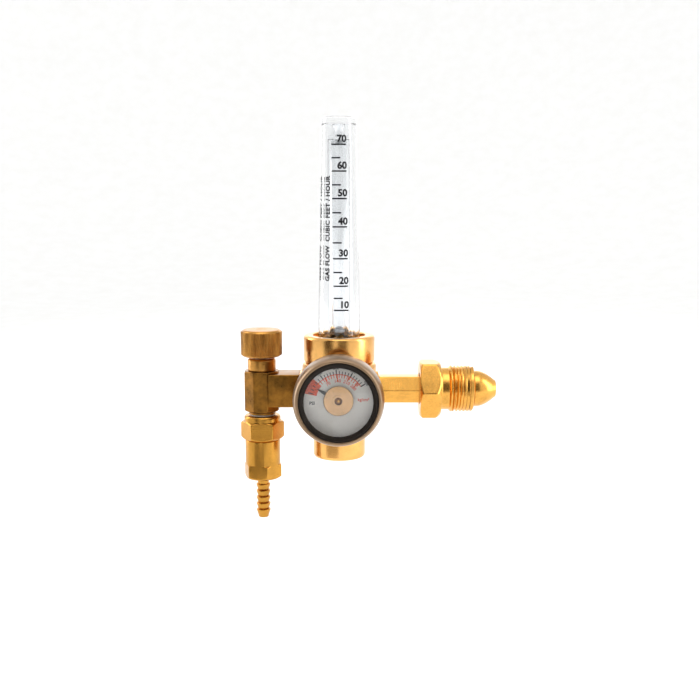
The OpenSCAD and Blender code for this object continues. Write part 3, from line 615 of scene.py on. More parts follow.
def prism(points, z_low, z_high):
    """A closed prism of a flat outline in millimetres, as a mesh in metres."""
    bm = bmesh.new()
    lower = [bm.verts.new((x * MM, y * MM, z_low * MM)) for x, y in points]
    upper = [bm.verts.new((x * MM, y * MM, z_high * MM)) for x, y in points]
    bm.faces.new(lower[::-1])
    bm.faces.new(upper)
    for i in range(len(points)):
        j = (i + 1) % len(points)
        bm.faces.new((lower[i], lower[j], upper[j], upper[i]))
    return close_mesh("prism", bm)


def boolean_union(meshes, bevel_mm, segments=3):
    """Joins solids with an exact union and rounds the edges that are left."""
    objects = []
    for mesh in meshes:
        piece = bpy.data.objects.new("union_part", mesh)
        bpy.context.scene.collection.objects.link(piece)
        objects.append(piece)
    main = objects[0]
    for other in objects[1:]:
        modifier = main.modifiers.new("union", "BOOLEAN")
        modifier.operation = "UNION"
        modifier.solver = "EXACT"
        modifier.object = other
    if bevel_mm:
        modifier = main.modifiers.new("edges", "BEVEL")
        modifier.width = bevel_mm * MM
        modifier.segments = segments
        modifier.limit_method = "ANGLE"
        modifier.angle_limit = math.radians(28)
        modifier.use_clamp_overlap = True
    mesh = evaluated_mesh(main)
    for piece in objects:
        bpy.data.objects.remove(piece)
    return mesh


def evaluated_mesh(piece):
    """The plain mesh that an object's modifiers leave."""
    graph = bpy.context.evaluated_depsgraph_get()
    graph.update()
    return bpy.data.meshes.new_from_object(piece.evaluated_get(graph))


# ---------- geometry nodes ----------

def new_tree(name, inputs):
    """A geometry node tree with named inputs: {name: (socket type, default)}."""
    tree = bpy.data.node_groups.new(name, "GeometryNodeTree")
    for key, (kind, default) in inputs.items():
        socket = tree.interface.new_socket(key, in_out="INPUT", socket_type=kind)
        if default is not None:
            socket.default_value = default
    tree.interface.new_socket("Geometry", in_out="OUTPUT", socket_type="NodeSocketGeometry")
    return tree


def math_node(tree, operation, first, second=0.0):
    """One sum, product or quotient of two values."""
    return add(tree, "ShaderNodeMath", {"operation": operation}, _0=first, _1=second).outputs[0]


def finish_tree(tree, geometry, material):
    """Every tree ends in real geometry with its material."""
    real = add(tree, "GeometryNodeRealizeInstances", Geometry=geometry)
    painted = add(tree, "GeometryNodeSetMaterial", Geometry=real.outputs[0], Material=material)
    output = add(tree, "NodeGroupOutput")
    tree.links.new(painted.outputs[0], output.inputs[0])
    return tree


def copies_tree():
    """Copies of a piece at equal steps of angle and of height about the local z axis."""
    tree = new_tree("copies_about_axis", {
        "Piece": ("NodeSocketObject", None),
        "Count": ("NodeSocketInt", 10),
        "Start Angle": ("NodeSocketFloat", 0.0),
        "Angle Step": ("NodeSocketFloat", 0.1),
        "Height Step": ("NodeSocketFloat", 0.0),
        "Material": ("NodeSocketMaterial", None),
    })
    given = add(tree, "NodeGroupInput").outputs
    index = add(tree, "GeometryNodeInputIndex").outputs[0]
    height = math_node(tree, "MULTIPLY", index, given["Height Step"])
    stepped = math_node(tree, "MULTIPLY", index, given["Angle Step"])
    angle = math_node(tree, "ADD", stepped, given["Start Angle"])
    place = add(tree, "ShaderNodeCombineXYZ", Z=height).outputs[0]
    points = add(tree, "GeometryNodePoints", Count=given["Count"], Position=place).outputs[0]
    turn = add(tree, "ShaderNodeCombineXYZ", Z=angle).outputs[0]
    piece = add(tree, "GeometryNodeObjectInfo", Object=given["Piece"]).outputs["Geometry"]
    copies = add(tree, "GeometryNodeInstanceOnPoints", Points=points, Instance=piece, Rotation=turn)
    return finish_tree(tree, copies.outputs[0], given["Material"])


def thread_tree():
    """One thread ridge swept along a helix, from the height 0 upward."""
    tree = new_tree("helical_thread", {
        "Root Radius": ("NodeSocketFloat", 0.01),
        "Pitch": ("NodeSocketFloat", 0.001),
        "Turns": ("NodeSocketFloat", 5.0),
        "Depth": ("NodeSocketFloat", 0.001),
        "Crest": ("NodeSocketFloat", 0.0002),
        "Root": ("NodeSocketFloat", 0.0015),
        "Material": ("NodeSocketMaterial", None),
    })
    given = add(tree, "NodeGroupInput").outputs
    rise = math_node(tree, "MULTIPLY", given["Pitch"], given["Turns"])
    helix = add(tree, "GeometryNodeCurveSpiral", Resolution=96, Rotations=given["Turns"],
                Start_Radius=given["Root Radius"], End_Radius=given["Root Radius"], Height=rise)
    least_twist = add(tree, "GeometryNodeSetCurveNormal", {"mode": "MINIMUM_TWIST"}, Curve=helix.outputs[0])
    half_root = math_node(tree, "MULTIPLY", given["Root"], 0.5)
    half_crest = math_node(tree, "MULTIPLY", given["Crest"], 0.5)
    outline = add(tree, "GeometryNodeCurvePrimitiveQuadrilateral", {"mode": "POINTS"})
    sunk, full = -0.3, 1
    four_corners = ((sunk, half_root, 1), (full, half_crest, 1), (full, half_crest, -1),
                    (sunk, half_root, -1))
    for number, (reach, side, sign) in enumerate(four_corners, 1):
        out = math_node(tree, "MULTIPLY", given["Depth"], -reach)
        across = math_node(tree, "MULTIPLY", side, sign)
        corner = add(tree, "ShaderNodeCombineXYZ", X=out, Y=across).outputs[0]
        tree.links.new(corner, outline.inputs[f"Point {number}"])
    ridge = add(tree, "GeometryNodeCurveToMesh", Curve=least_twist.outputs[0],
                Profile_Curve=outline.outputs[0], Fill_Caps=True)
    return finish_tree(tree, ridge.outputs[0], given["Material"])


TREES = {}


def grow(tree_name, **inputs):
    """Runs a geometry node tree on an empty mesh and gives the plain mesh that it makes."""
    if not TREES:
        TREES["copies"] = copies_tree()
        TREES["thread"] = thread_tree()
    tree = TREES[tree_name]
    carrier = bpy.data.objects.new("carrier", bpy.data.meshes.new("carrier"))
    bpy.context.scene.collection.objects.link(carrier)
    modifier = carrier.modifiers.new("grow", "NODES")
    modifier.node_group = tree
    for item in tree.interface.items_tree:
        key = item.name.replace(" ", "_")
        if item.in_out == "INPUT" and key in inputs:
            modifier[item.identifier] = inputs[key]
    mesh = evaluated_mesh(carrier)
    bpy.data.objects.remove(carrier)
    return mesh


def copies(mesh, count, start, step, height_step, finish):
    """A mesh repeated about the local z axis, as one plain mesh."""
    sample = bpy.data.objects.new("sample", mesh)
    bpy.context.scene.collection.objects.link(sample)
    grown = grow("copies", Piece=sample, Count=count, Start_Angle=start, Angle_Step=step,
                 Height_Step=height_step, Material=FINISHES[finish])
    bpy.data.objects.remove(sample)
    return grown


def lettering(words, height_mm, align="CENTER", weight=0.0, spacing=1.0):
    """Generic lettering as a thin flat mesh in metres, on the local x-y plane."""
    capital_share, thickness_mm = 0.72, 0.02
    curve = bpy.data.curves.new("lettering", "FONT")
    curve.body = words
    curve.size = height_mm * MM / capital_share
    curve.align_x = align
    curve.align_y = "CENTER"
    curve.offset = weight * MM
    curve.space_character = spacing
    curve.extrude = thickness_mm * MM
    curve.resolution_u = 4
    piece = bpy.data.objects.new("lettering", curve)
    bpy.context.scene.collection.objects.link(piece)
    mesh = evaluated_mesh(piece)
    bpy.data.objects.remove(piece)
    return mesh


# ---------- pieces ----------

class REGULATOR_OT_body(bpy.types.Operator):
    """Body, bottom cap and the collar nut of the flow tube."""

    bl_idname = "regulator.body"
    bl_label = "Body, cap and collar"

    def execute(self, context):
        bottom = low("regulator_body").z
        neck_top = high("regulator_body").z
        collar_low, collar_top = low("tube_collar").z, high("tube_collar").z
        body_r = radius("bottom_cap") + 5.75
        shoulder = collar_low - 0.3
        neck_r = 15.0
        well_r, well_floor = 11.0, 13.2
        shell = skin_mesh("shell", soften([
            (0, bottom + 6), (12, bottom + 6), (12, bottom), (body_r - 0.2, bottom), (body_r, bottom + 0.2),
            (body_r, shoulder - 2.2), (body_r - 0.55, shoulder - 0.75), (body_r - 2.1, shoulder),
            (neck_r, shoulder), (neck_r, neck_top), (well_r, neck_top), (well_r, well_floor),
            (0, well_floor)], 0.5, 4), UP, BODY_ORIGIN, even_angles(COMMON_ROUND), ring=False)
        reach = high("regulator_body").x - BODY_ORIGIN.x
        inside, port_r, port_depth, pad_half, front_r = 10, 5.05, 3, 9.2, 7.5
        bosses = []
        for name, boss_r, axes in (("boss", pad_half, RIGHT), ("front", front_r, FRONT)):
            rows = soften([(0, inside), (boss_r, inside), (boss_r, reach), (port_r, reach),
                           (port_r, reach - port_depth), (0, reach - port_depth)], 0.5)
            bosses.append(skin_mesh(name, rows, axes, BODY_ORIGIN, even_angles(MIDDLE_ROUND), ring=False))
        pad = prism([(-pad_half, -pad_half), (pad_half, -pad_half), (pad_half, pad_half),
                     (-pad_half, pad_half)], inside, reach)
        pad.transform(placing((Vector((0, 1, 0)), Vector((0, 0, -1)), Vector((-1, 0, 0))), BODY_ORIGIN))
        bevelled = boolean_union([pad], 0.6)
        mesh = boolean_union([shell, *bosses, bevelled], 0)
        piece = finish_mesh("regulator_body_shell", mesh, "root", "brass_polished")
        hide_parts("regulator_body")

        cap_r, cap_low, cap_top = radius("bottom_cap"), low("bottom_cap").z, bottom
        screw_r = radius("setting_screw") + 0.1
        thread_r, bore_r, thread_top, bore_floor = 11.9, 9.4, high("bottom_cap").z, cap_low + 7.5
        turned("bottom_cap_shell", "bottom_cap", [
            (screw_r, cap_low), (cap_r - 1.6, cap_low), (cap_r - 0.5, cap_low + 0.45), (cap_r, cap_low + 1.6),
            (cap_r, cap_top - 1.1), (cap_r - 0.35, cap_top - 0.9), (cap_r - 0.35, cap_top),
            (thread_r, cap_top), (thread_r, thread_top), (bore_r, thread_top), (bore_r, bore_floor),
            (screw_r, bore_floor)], UP, BODY_ORIGIN, "brass_polished", soft=0.3)

        collar_r, inner_r, recess_r, hole_r = radius("tube_collar"), neck_r + 0.05, 13.75, 11.15
        recess_floor, web_floor = collar_top - 2.2, collar_top - 5.3
        turned("tube_collar_nut", "tube_collar", [
            (inner_r, collar_low), (collar_r - 0.7, collar_low), (collar_r, collar_low + 0.7),
            (collar_r, collar_top - 1.5), (collar_r - 0.45, collar_top - 0.45),
            (collar_r - 1.5, collar_top), (recess_r + 0.35, collar_top), (recess_r, collar_top - 0.35),
            (recess_r, recess_floor), (hole_r, recess_floor), (hole_r, web_floor), (inner_r, web_floor)],
            UP, BODY_ORIGIN, "brass_polished", soft=0.3)
        return {"FINISHED"}


class REGULATOR_OT_relief(bpy.types.Operator):
    """Relief valve's hexagon and vented cap at the back."""

    bl_idname = "regulator.relief"
    bl_label = "Relief valve"

    def execute(self, context):
        end = high("relief_valve_body").y
        height = middle("relief_valve_body").z
        origin = Vector((BODY_AXIS.x, 0, height))
        hex_low, hex_high, across, turn = end - 6.3, end - 2.3, 10, math.radians(30)
        stub_r, stub_start = 3.5, hex_low - 6.7
        bar = flats(6, across, turn)
        rows = [(0, stub_start), (stub_r, stub_start), (stub_r, hex_low)]
        rows += [(cut_by(5.45 + 0.5 * t, bar), hex_low + 0.5 * t) for t in (0, 0.5, 1)]
        rows += [(cut_by(5.95 - 0.7 * t, bar), hex_high - 0.6 + 0.6 * t) for t in (0, 0.25, 0.5, 0.75, 1)]
        rows += soften([(4, hex_high), (4, end - 0.6), (3.4, end), (1, end), (1, end - 1.2),
                        (0, end - 1.2)], 0.2)
        mesh = skin_mesh("relief_valve_shell", rows, BACK, origin, flat_angles(6, turn), ring=False)
        piece = finish_mesh("relief_valve_shell", mesh, "root", "brass_fitting")
        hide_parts("relief_valve_body")
        return {"FINISHED"}


class REGULATOR_OT_inlet(bpy.types.Operator):
    """Nipple with its hexagon stem and nose, and the inlet nut with its helical thread."""

    bl_idname = "regulator.inlet"
    bl_label = "Inlet nipple and nut"

    def execute(self, context):
        self.nipple()
        self.nut()
        return {"FINISHED"}

    def nipple(self):
        """Screwed end, hexagon stem, round shank and bullet nose."""
        boss = high("regulator_body").x
        back = low("inlet_nut").x
        nose_end = high("inlet_nipple").x
        nose_r = radius("inlet_nipple", 1)
        stem_across, no_cut = 13.9, 40
        stem = flats(6, stem_across, 0)
        shank_r, bore_r, mouth_r, screwed_r = 8.3, 3.0, 4.0, 4.9
        nose_start, nose_steps, nose_curve = 2, 20, 1.7
        rows = [(0, boss - 4), (screwed_r, boss - 4), (screwed_r, boss)]
        rows += [(cut_by(7.1 + 0.9 * t, stem), boss + 0.5 * t) for t in (0, 0.3, 0.6, 1)]
        rows += [(cut_by(no_cut, stem), boss + (back + 1 - boss) * t) for t in (0.1, 0.5, 0.9, 1)]
        rows += [(shank_r, back + 1), (shank_r, -0.3), (shank_r, 0), (nose_r - 0.3, 0), (nose_r, 0.3),
                 (nose_r, nose_start)]
        length = nose_end - nose_start
        for i in range(1, nose_steps - 1):
            t = i / nose_steps
            rows.append((mouth_r + (nose_r - mouth_r) * (1 - t ** nose_curve), nose_start + length * t))
        rows += [(mouth_r + 0.55, nose_end - 0.45), (mouth_r + 0.25, nose_end - 0.12),
                 (mouth_r - 0.1, nose_end), (bore_r + 0.3, nose_end), (bore_r, nose_end - 0.3),
                 (bore_r, nose_end - 2.5), (0, nose_end - 2.5)]
        mesh = skin_mesh("inlet_nipple_turned", rows, RIGHT, INLET_ORIGIN, flat_angles(6, 0), ring=False)
        piece = finish_mesh("inlet_nipple_turned", mesh, "root", "brass_fitting")
        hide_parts("inlet_nipple")

    def nut(self):
        """Hexagon, neck and a core that carries the helical thread."""
        back, front = low("inlet_nut").x, high("inlet_nut").x
        across = 2 * radius("inlet_nut", 2)
        corner = across / 2 / math.cos(math.radians(30))
        hex_l, crest_r, depth, thread_l = 10.9, 12.25, 0.95, 12.0
        inch, threads_per_inch = 25.4, 14
        pitch = inch / threads_per_inch
        hex_front, thread_start = back + hex_l, front - thread_l
        sharpness, bore = 110, 8.38
        bar = flats(6, across, 0, sharpness)
        inner_r, corner_cut = across / 2, corner - across / 2
        rows = [(bore, back), (inner_r - 0.6, back)]
        rows += [(cut_by(inner_r + corner_cut * t, bar), back + 1.15 * t)
                 for t in (0, 0.15, 0.3, 0.5, 0.75, 1)]
        rows += [(cut_by(corner * 1.05, bar), back + 1.5), (cut_by(corner * 1.05, bar), hex_front - 3.1)]
        rows += [(cut_by(corner - (corner_cut + 0.5) * t, bar), hex_front - 2.6 + 2.6 * t)
                 for t in (0, 0.1, 0.2, 0.3, 0.45, 0.6, 0.8, 1)]
        root = crest_r - depth
        rows += soften([(11.6, hex_front), (11.3, hex_front + 0.4), (11.1, hex_front + 0.8),
                        (11.1, thread_start - 0.9),
                        (crest_r - 0.6, thread_start - 0.5), (crest_r, thread_start + 0.1),
                        (crest_r, thread_start + 0.7), (root, thread_start + 1.3),
                        (root, front - 0.1), (root - 0.4, front), (bore, front)], 0.2)
        mesh = skin_mesh("inlet_nut_core", rows, RIGHT, INLET_ORIGIN, flat_angles(6, 0))
        plain_ends, crest_w, root_share = 1.6, 0.32, 0.92
        turns = (thread_l - plain_ends) / pitch
        ridge = grow("thread", Root_Radius=root * MM, Pitch=pitch * MM, Turns=turns, Depth=depth * MM,
                     Crest=crest_w * MM, Root=pitch * root_share * MM, Material=FINISHES["brass_fitting"])
        ridge.transform(placing(RIGHT, Vector((thread_start + 0.9, 0, 0))))
        mesh.materials.append(FINISHES["brass_fitting"])
        joined = join_meshes("inlet_nut_threaded", [mesh, ridge])
        piece = finish_mesh("inlet_nut_threaded", joined, "inlet_nut", "brass_fitting")
        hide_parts("inlet_nut")


class REGULATOR_OT_valve(bpy.types.Operator):
    """Needle valve: body, bonnet and knurled knob."""

    bl_idname = "regulator.valve"
    bl_label = "Needle valve"

    def execute(self, context):
        self.body()
        bonnet_r, bottom, top = radius("valve_bonnet"), high("valve_body").z, high("valve_bonnet").z
        turned("valve_bonnet_turned", "valve_bonnet", [
            (0, bottom - 2), (5.3, bottom - 2), (5.3, bottom + 0.1), (bonnet_r - 0.3, bottom + 0.1),
            (bonnet_r, bottom + 0.4), (bonnet_r, top - 0.9), (bonnet_r - 0.9, top), (2.5, top),
            (2.5, top - 0.5), (0, top - 0.5)],
            UP, VALVE_ORIGIN, "brass_knob", soft=0.25, ring=False)
        self.knob()
        return {"FINISHED"}

    def body(self):
        """Upright eight-sided post, joined to the square bar that goes to the regulator."""
        across = 2 * radius("valve_body", 1)
        top, bottom = high("valve_body").z, low("valve_body").z + 1.2
        neck = low("valve_body").z
        turn, sharpness = math.radians(22.5), 160
        eight = flats(8, across, turn, sharpness)
        corner = across / 2 / math.cos(math.pi / 8)
        rows = [(0, neck), (6.9, neck), (7.0, neck + 0.15), (7.0, bottom - 0.1), (7.3, bottom)]
        steps = (0, 0.2, 0.4, 0.6, 0.8, 1)
        rows += [(cut_by(7.6 + (corner - 7.5) * t, eight), bottom + 1.1 * t) for t in steps]
        rows += [(cut_by(corner * 1.05, eight), bottom + 1.5), (cut_by(corner * 1.05, eight), top - 1)]
        rows += [(cut_by(corner - 0.9 * t, eight), top - 0.7 + 0.7 * t) for t in steps]
        rows += [(0, top)]
        post = skin_mesh("post", rows, UP, VALVE_ORIGIN, flat_angles(8, turn), ring=False)
        bar_inset, bar_end = 0.25, 20.7
        half = across / 2 - bar_inset
        reach = BODY_ORIGIN.x - bar_end - VALVE_ORIGIN.x
        bar = prism([(-half, -half), (half, -half), (half, half), (-half, half)], 2, reach)
        bar.transform(placing(RIGHT, VALVE_ORIGIN))
        bar = boolean_union([bar], 0.7, 4)
        mesh = boolean_union([post, bar], 0)
        piece = finish_mesh("valve_body_stamped", mesh, "root", "brass_valve", 30)
        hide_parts("valve_body")

    def knob(self):
        """Turned knob with a straight knurl."""
        knurl = settings("knurl")
        r, bottom, top = radius("valve_knob"), low("valve_knob").z, high("valve_knob").z
        core = r - knurl.depth
        ridge_low, ridge_high = bottom + 1.0, top - 1.1
        outline = [(0, bottom + 0.6), (4.2, bottom + 0.6), (4.6, bottom), (r - 1.2, bottom),
                   (core, ridge_low), (core, ridge_high), (r - 1.1, top - 0.25), (r - 1.5, top), (3.0, top),
                   (2.6, top - 0.12), (0, top - 0.12)]
        mesh = skin_mesh("knob_core", soften(outline, 0.25), UP, VALVE_ORIGIN, even_angles(COMMON_ROUND),
                         ring=False)
        mesh.materials.append(FINISHES["brass_knob"])
        share_of_pitch = 0.46
        half = TAU * core / knurl.ridges * share_of_pitch
        ridge = self.ridge(core, knurl.depth, half, ridge_low, ridge_high)
        ridges = copies(ridge, knurl.ridges, 0.0, TAU / knurl.ridges, 0.0, "brass_knob")
        ridges.transform(placing(UP, VALVE_ORIGIN))
        joined = join_meshes("valve_knob_knurled", [mesh, ridges])
        piece = finish_mesh("valve_knob_knurled", joined, "knob", "brass_knob", 30)
        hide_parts("valve_knob")

    def ridge(self, core, depth, half, z_low, z_high):
        """One ridge of the knurl, which runs out into the knob at both ends."""
        bm = bmesh.new()
        ends = []
        sunk, crest_share = 0.1, 0.3
        for z, tall in ((z_low - depth, -0.1), (z_low + 0.1, 1), (z_high - 0.1, 1), (z_high + depth, -0.1)):
            crest, foot = core + depth * tall, core - sunk
            corners = ((foot, -half, z), (crest, -half * crest_share, z), (crest, half * crest_share, z),
                       (foot, half, z))
            ends.append([bm.verts.new(Vector(p) * MM) for p in corners])
        for lower, upper in zip(ends, ends[1:]):
            for i in range(4):
                j = (i + 1) % 4
                bm.faces.new((lower[i], lower[j], upper[j], upper[i]))
        bm.faces.new(ends[0][::-1])
        bm.faces.new(ends[-1])
        return close_mesh("ridge", bm, merge=False)


class REGULATOR_OT_outlet(bpy.types.Operator):
    """Outlet adapter, outlet nut and hose barb."""

    bl_idname = "regulator.outlet"
    bl_label = "Outlet and hose barb"

    def execute(self, context):
        self.adapter()
        self.nut()
        self.barb()
        return {"FINISHED"}

    def hexagon_rows(self, bar, across, z_low, z_high, cut_low, cut_high):
        """Rows of a hexagon whose corners are turned off at both ends."""
        corner = across / 2 / math.cos(math.radians(30))
        steps = (0, 0.15, 0.3, 0.5, 0.75, 1)
        rows = [(cut_by(corner - cut_low * (1 - t), bar), z_low + 0.6 * cut_low * t) for t in steps]
        rows += [(cut_by(corner * 1.05, bar), z_low + 0.6 * cut_low + 0.3)]
        rows += [(cut_by(corner * 1.05, bar), z_high - 0.6 * cut_high - 0.3)]
        rows += [(cut_by(corner - cut_high * t, bar), z_high - 0.6 * cut_high * (1 - t)) for t in steps]
        return rows

    def adapter(self):
        """Upper hexagon, with the collar that seats on the washer."""
        turn = math.radians(3)
        across, top = 20.0, low("outlet_washer").z
        collar_h, hex_h, stub_r, stub_l = 3.4, 9.3, 7.3, 9
        hex_top = top - collar_h
        hex_low = hex_top - hex_h
        bar = flats(6, across, turn)
        rows = [(0, hex_low - stub_l), (stub_r, hex_low - stub_l), (stub_r, hex_low - 0.1), (9.0, hex_low)]
        rows += self.hexagon_rows(bar, across, hex_low, hex_top, 1.4, 1.3)
        rows += soften([(9.75, hex_top), (9.6, hex_top + 0.3), (9.6, top - 1.1), (9.1, top - 0.35),
                        (8.3, top), (7.2, top), (6.4, top - 0.5), (3.6, top - 0.5), (0, top - 0.5)], 0.2)
        mesh = skin_mesh("outlet_adapter_turned", rows, UP, VALVE_ORIGIN, flat_angles(6, turn), ring=False)
        piece = finish_mesh("outlet_adapter_turned", mesh, "root", "brass_outlet")
        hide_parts("outlet_adapter")

    def nut(self):
        """Lower hexagon, with a round skirt above it."""
        turn = math.radians(-13)
        across, bottom, top = 17.8, low("outlet_nut").z, high("outlet_nut").z
        hex_h, bore, skirt_r = 7.6, 4.1, 9.25
        hex_top = bottom + hex_h
        bar = flats(6, across, turn)
        rows = [(bore, bottom), (8.0, bottom)]
        rows += self.hexagon_rows(bar, across, bottom, hex_top, 1.7, 0.7)
        rows += soften([(skirt_r, hex_top + 0.1), (skirt_r, top - 0.7), (8.7, top), (8.15, top),
                        (8.15, top - 1), (bore, top - 1)], 0.2)
        mesh = skin_mesh("outlet_nut_turned", rows, UP, VALVE_ORIGIN, flat_angles(6, turn))
        piece = finish_mesh("outlet_nut_turned", mesh, "root", "brass_outlet")
        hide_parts("outlet_nut")

    def barb(self):
        """Bored core, and ridges that narrow towards the tip."""
        ridge_r, bottom, neck = 3.75, low("hose_barb").z, low("outlet_nut").z
        root_r, pitch, count, tip_r, bore = 3.0, 3.5, 5, 2.8, 1.6
        first = neck - 3.6
        core = skin_mesh("barb_core", soften([
            (bore, bottom), (tip_r - 0.3, bottom), (tip_r, bottom + 0.4), (tip_r, first - 1), (root_r, first),
            (root_r, neck - 1.4), (root_r + 1, neck - 0.8), (root_r + 1, neck + 3), (bore, neck + 3)], 0.1),
            UP, VALVE_ORIGIN, even_angles(MIDDLE_ROUND))
        core.materials.append(FINISHES["brass_outlet"])
        ridge = skin_mesh("ridge", soften([
            (tip_r - 0.2, -pitch), (tip_r + 0.02, -pitch), (ridge_r, -0.55), (ridge_r, -0.12),
            (ridge_r - 0.15, 0), (tip_r - 0.2, 0)], 0.06), UP, Vector((0, 0, 0)), even_angles(MIDDLE_ROUND))
        ridges = copies(ridge, count, 0.0, 0.0, -pitch * MM, "brass_outlet")
        ridges.transform(placing(UP, VALVE_ORIGIN + Vector((0, 0, first))))
        joined = join_meshes("hose_barb_turned", [core, ridges])
        piece = finish_mesh("hose_barb_turned", joined, "root", "brass_outlet")
        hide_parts("hose_barb")


class REGULATOR_OT_gauge(bpy.types.Operator):
    """Pressure gauge: case, bezel, ring, lens, printed dial, pointer and hub."""

    bl_idname = "regulator.gauge"
    bl_label = "Pressure gauge"

    def execute(self, context):
        self.case()
        self.dial()
        self.pointer()
        return {"FINISHED"}

    def case(self):
        """Bezel, case, black ring and lens."""
        rim, front = radius("gauge_bezel"), -low("gauge_bezel").y
        lens_back, lens_front = -high("gauge_lens").y, -low("gauge_lens").y
        back, case_r = -high("gauge_case").y, radius("gauge_case")
        skirt = -high("gauge_bezel").y
        lip, ledge, belly = rim - 2.95, rim - 3.75, back + 8
        case_front = -low("gauge_case").y
        crown = [(lip + 0.7 + (rim - lip - 0.7) * math.cos(a), belly + (front - belly) * math.sin(a))
                 for a in [math.radians(d) for d in range(0, 91, 6)]]
        outline = [(case_r + 0.05, skirt), (rim - 0.7, skirt), (rim - 0.2, skirt + 0.3), (rim, skirt + 0.9)]
        outline += crown + [(lip + 0.1, front - 0.05), (lip, front - 0.4), (lip, lens_back),
                            (ledge, lens_back), (ledge, case_front + 0.05),
                            (case_r + 0.05, case_front + 0.05)]
        turned("gauge_bezel_spun", "gauge_bezel", outline, FRONT, GAUGE_ORIGIN, "gauge_steel", soft=0.12,
               angles=even_angles(WIDE_ROUND))
        wall, stem_r = 0.9, 4.05
        turned("gauge_case_drawn", "gauge_case", [
            (stem_r, back), (case_r - 1.5, back), (case_r - 0.45, back + 0.45), (case_r, back + 1.5),
            (case_r, case_front), (case_r - wall, case_front), (case_r - wall, back + wall),
            (stem_r, back + wall)],
            FRONT, GAUGE_ORIGIN, "gauge_steel", soft=0.3, angles=even_angles(WIDE_ROUND))
        seen = radius("gauge_dial") - 1.1
        ring_back, ring_front = -high("gauge_ring").y, -low("gauge_ring").y
        turned("gauge_ring_moulded", "gauge_ring", [
            (seen, ring_back + 0.02), (lip - 0.06, ring_back + 0.02), (lip - 0.06, ring_front - 0.15),
            (lip - 0.6, ring_front), (lip - 1.3, ring_front - 0.05), (seen + 0.45, ring_back + 0.6),
            (seen + 0.12, ring_back + 0.45)],
            FRONT, GAUGE_ORIGIN, "black_ring", soft=0.12, angles=even_angles(WIDE_ROUND))
        turned("gauge_lens_disc", "gauge_lens", [
            (0, lens_back), (lip - 0.15, lens_back), (lip - 0.05, lens_back + 0.1),
            (lip - 0.05, lens_front - 0.1), (lip - 0.15, lens_front), (0, lens_front)],
            FRONT, GAUGE_ORIGIN, "lens_clear", soft=0.05, ring=False, angles=even_angles(COMMON_ROUND))

    def dial(self):
        """Dial plate with its marks, numbers, units and red band."""
        gauge = settings("gauge")
        back, face, hole_r = -high("gauge_dial").y, -low("gauge_dial").y, 1.6
        turned("gauge_dial_plate", "gauge_dial", [
            (hole_r, back), (radius("gauge_dial"), back), (radius("gauge_dial"), face), (hole_r, face)],
            FRONT, GAUGE_ORIGIN, "dial_face", soft=0.08, angles=even_angles(COMMON_ROUND))
        black, red = [], []
        ink_top, band_top = 0.08, 0.04
        number_top, line_top = ink_top + 0.01, ink_top + 0.005
        numbers = [math.radians(a) for a in (165.5, 125.5, 94.5, 63.5, 32.5)]
        arc, thin, thick, gap = gauge.arc_r, 0.36, 0.5, 0.15
        for start, end in zip(numbers, numbers[1:]):
            step = (end - start) / gauge.divisions
            black.append(self.ticks(arc + gap, arc + gap + gauge.minor, thin, gauge.divisions, start, step,
                                    ink_top, "ink"))
            red.append(self.ticks(arc - gap - gauge.minor, arc - gap, thin, gauge.divisions, start, step,
                                  ink_top, "red_ink"))
        for angle in numbers:
            black.append(self.ticks(arc, arc + gauge.major, thick, 1, angle, 0, number_top, "ink"))
        outer_h, outer_r, inner_h, inner_r = 1.0, 15.95, 1.6, 9.7
        for value, angle in zip((70, 140, 210, 280), (121, 93, 66, 42)):
            turn = math.radians(angle)
            red.append(self.ticks(arc - gauge.major, arc, thick, 1, turn, 0, number_top, "red_ink"))
            red.append(self.number(str(value), inner_h, inner_r, turn, "red_ink"))
        for value, angle in zip((1000, 2000, 3000, 4000), numbers[1:]):
            black.append(self.number(str(value), outer_h, outer_r, angle, "ink"))
        line_steps, band_steps, band_r = 48, 12, 16.9
        red.append(self.band(arc - 0.16, arc + 0.2, numbers[0], numbers[-1], line_top, line_steps, "red_ink"))
        red.append(self.band(arc - 1.9, band_r, gauge.band_from, gauge.band_to, band_top, band_steps,
                             "red_ink"))
        black.append(self.label("PSI", 1.6, (-13.0, -1.4), "ink"))
        red.append(self.label("kg/cm²", 1.5, (12.2, 0.4), "red_ink"))
        print_lift = 0.005
        for name, meshes, finish in (("dial_black_print", black, "ink"), ("dial_red_print", red, "red_ink")):
            mesh = join_meshes(name, meshes)
            mesh.transform(placing(FRONT, GAUGE_ORIGIN + FRONT[2] * (face + print_lift)))
            finish_mesh(name, mesh, "root", finish, 0)

    def ticks(self, inner, outer, width, count, start, step, top, finish):
        """Straight marks at equal steps of angle."""
        half = width / 2
        tick = prism([(inner, -half), (outer, -half), (outer, half), (inner, half)], 0, top)
        return copies(tick, count, start, step, 0.0, finish)

    def band(self, inner, outer, start, end, top, steps, finish):
        """A curved band between two angles."""
        rim = [start + (end - start) * i / steps for i in range(steps + 1)]
        outline = [(outer * math.cos(a), outer * math.sin(a)) for a in rim]
        outline += [(inner * math.cos(a), inner * math.sin(a)) for a in reversed(rim)]
        mesh = prism(outline, 0, top)
        mesh.materials.append(FINISHES[finish])
        return mesh

    def number(self, words, size, reach, angle, finish):
        """A number that stands upright on its own radius."""
        tilt = Matrix.Rotation(angle - math.pi / 2, 4, "Z")
        place = tilt @ Matrix.Translation((0, reach * MM, PRINT_LIFT * MM))
        return self.printed(words, size, 0.035, place, finish)

    def label(self, words, size, place, finish):
        """A word on a level line."""
        place = Matrix.Translation((place[0] * MM, place[1] * MM, PRINT_LIFT * MM))
        return self.printed(words, size, 0.05, place, finish)

    def printed(self, words, size, weight, place, finish):
        """Lettering put in its place, with its ink."""
        mesh = lettering(words, size, weight=weight)
        mesh.transform(place)
        mesh.materials.clear()
        mesh.materials.append(FINISHES[finish])
        return mesh

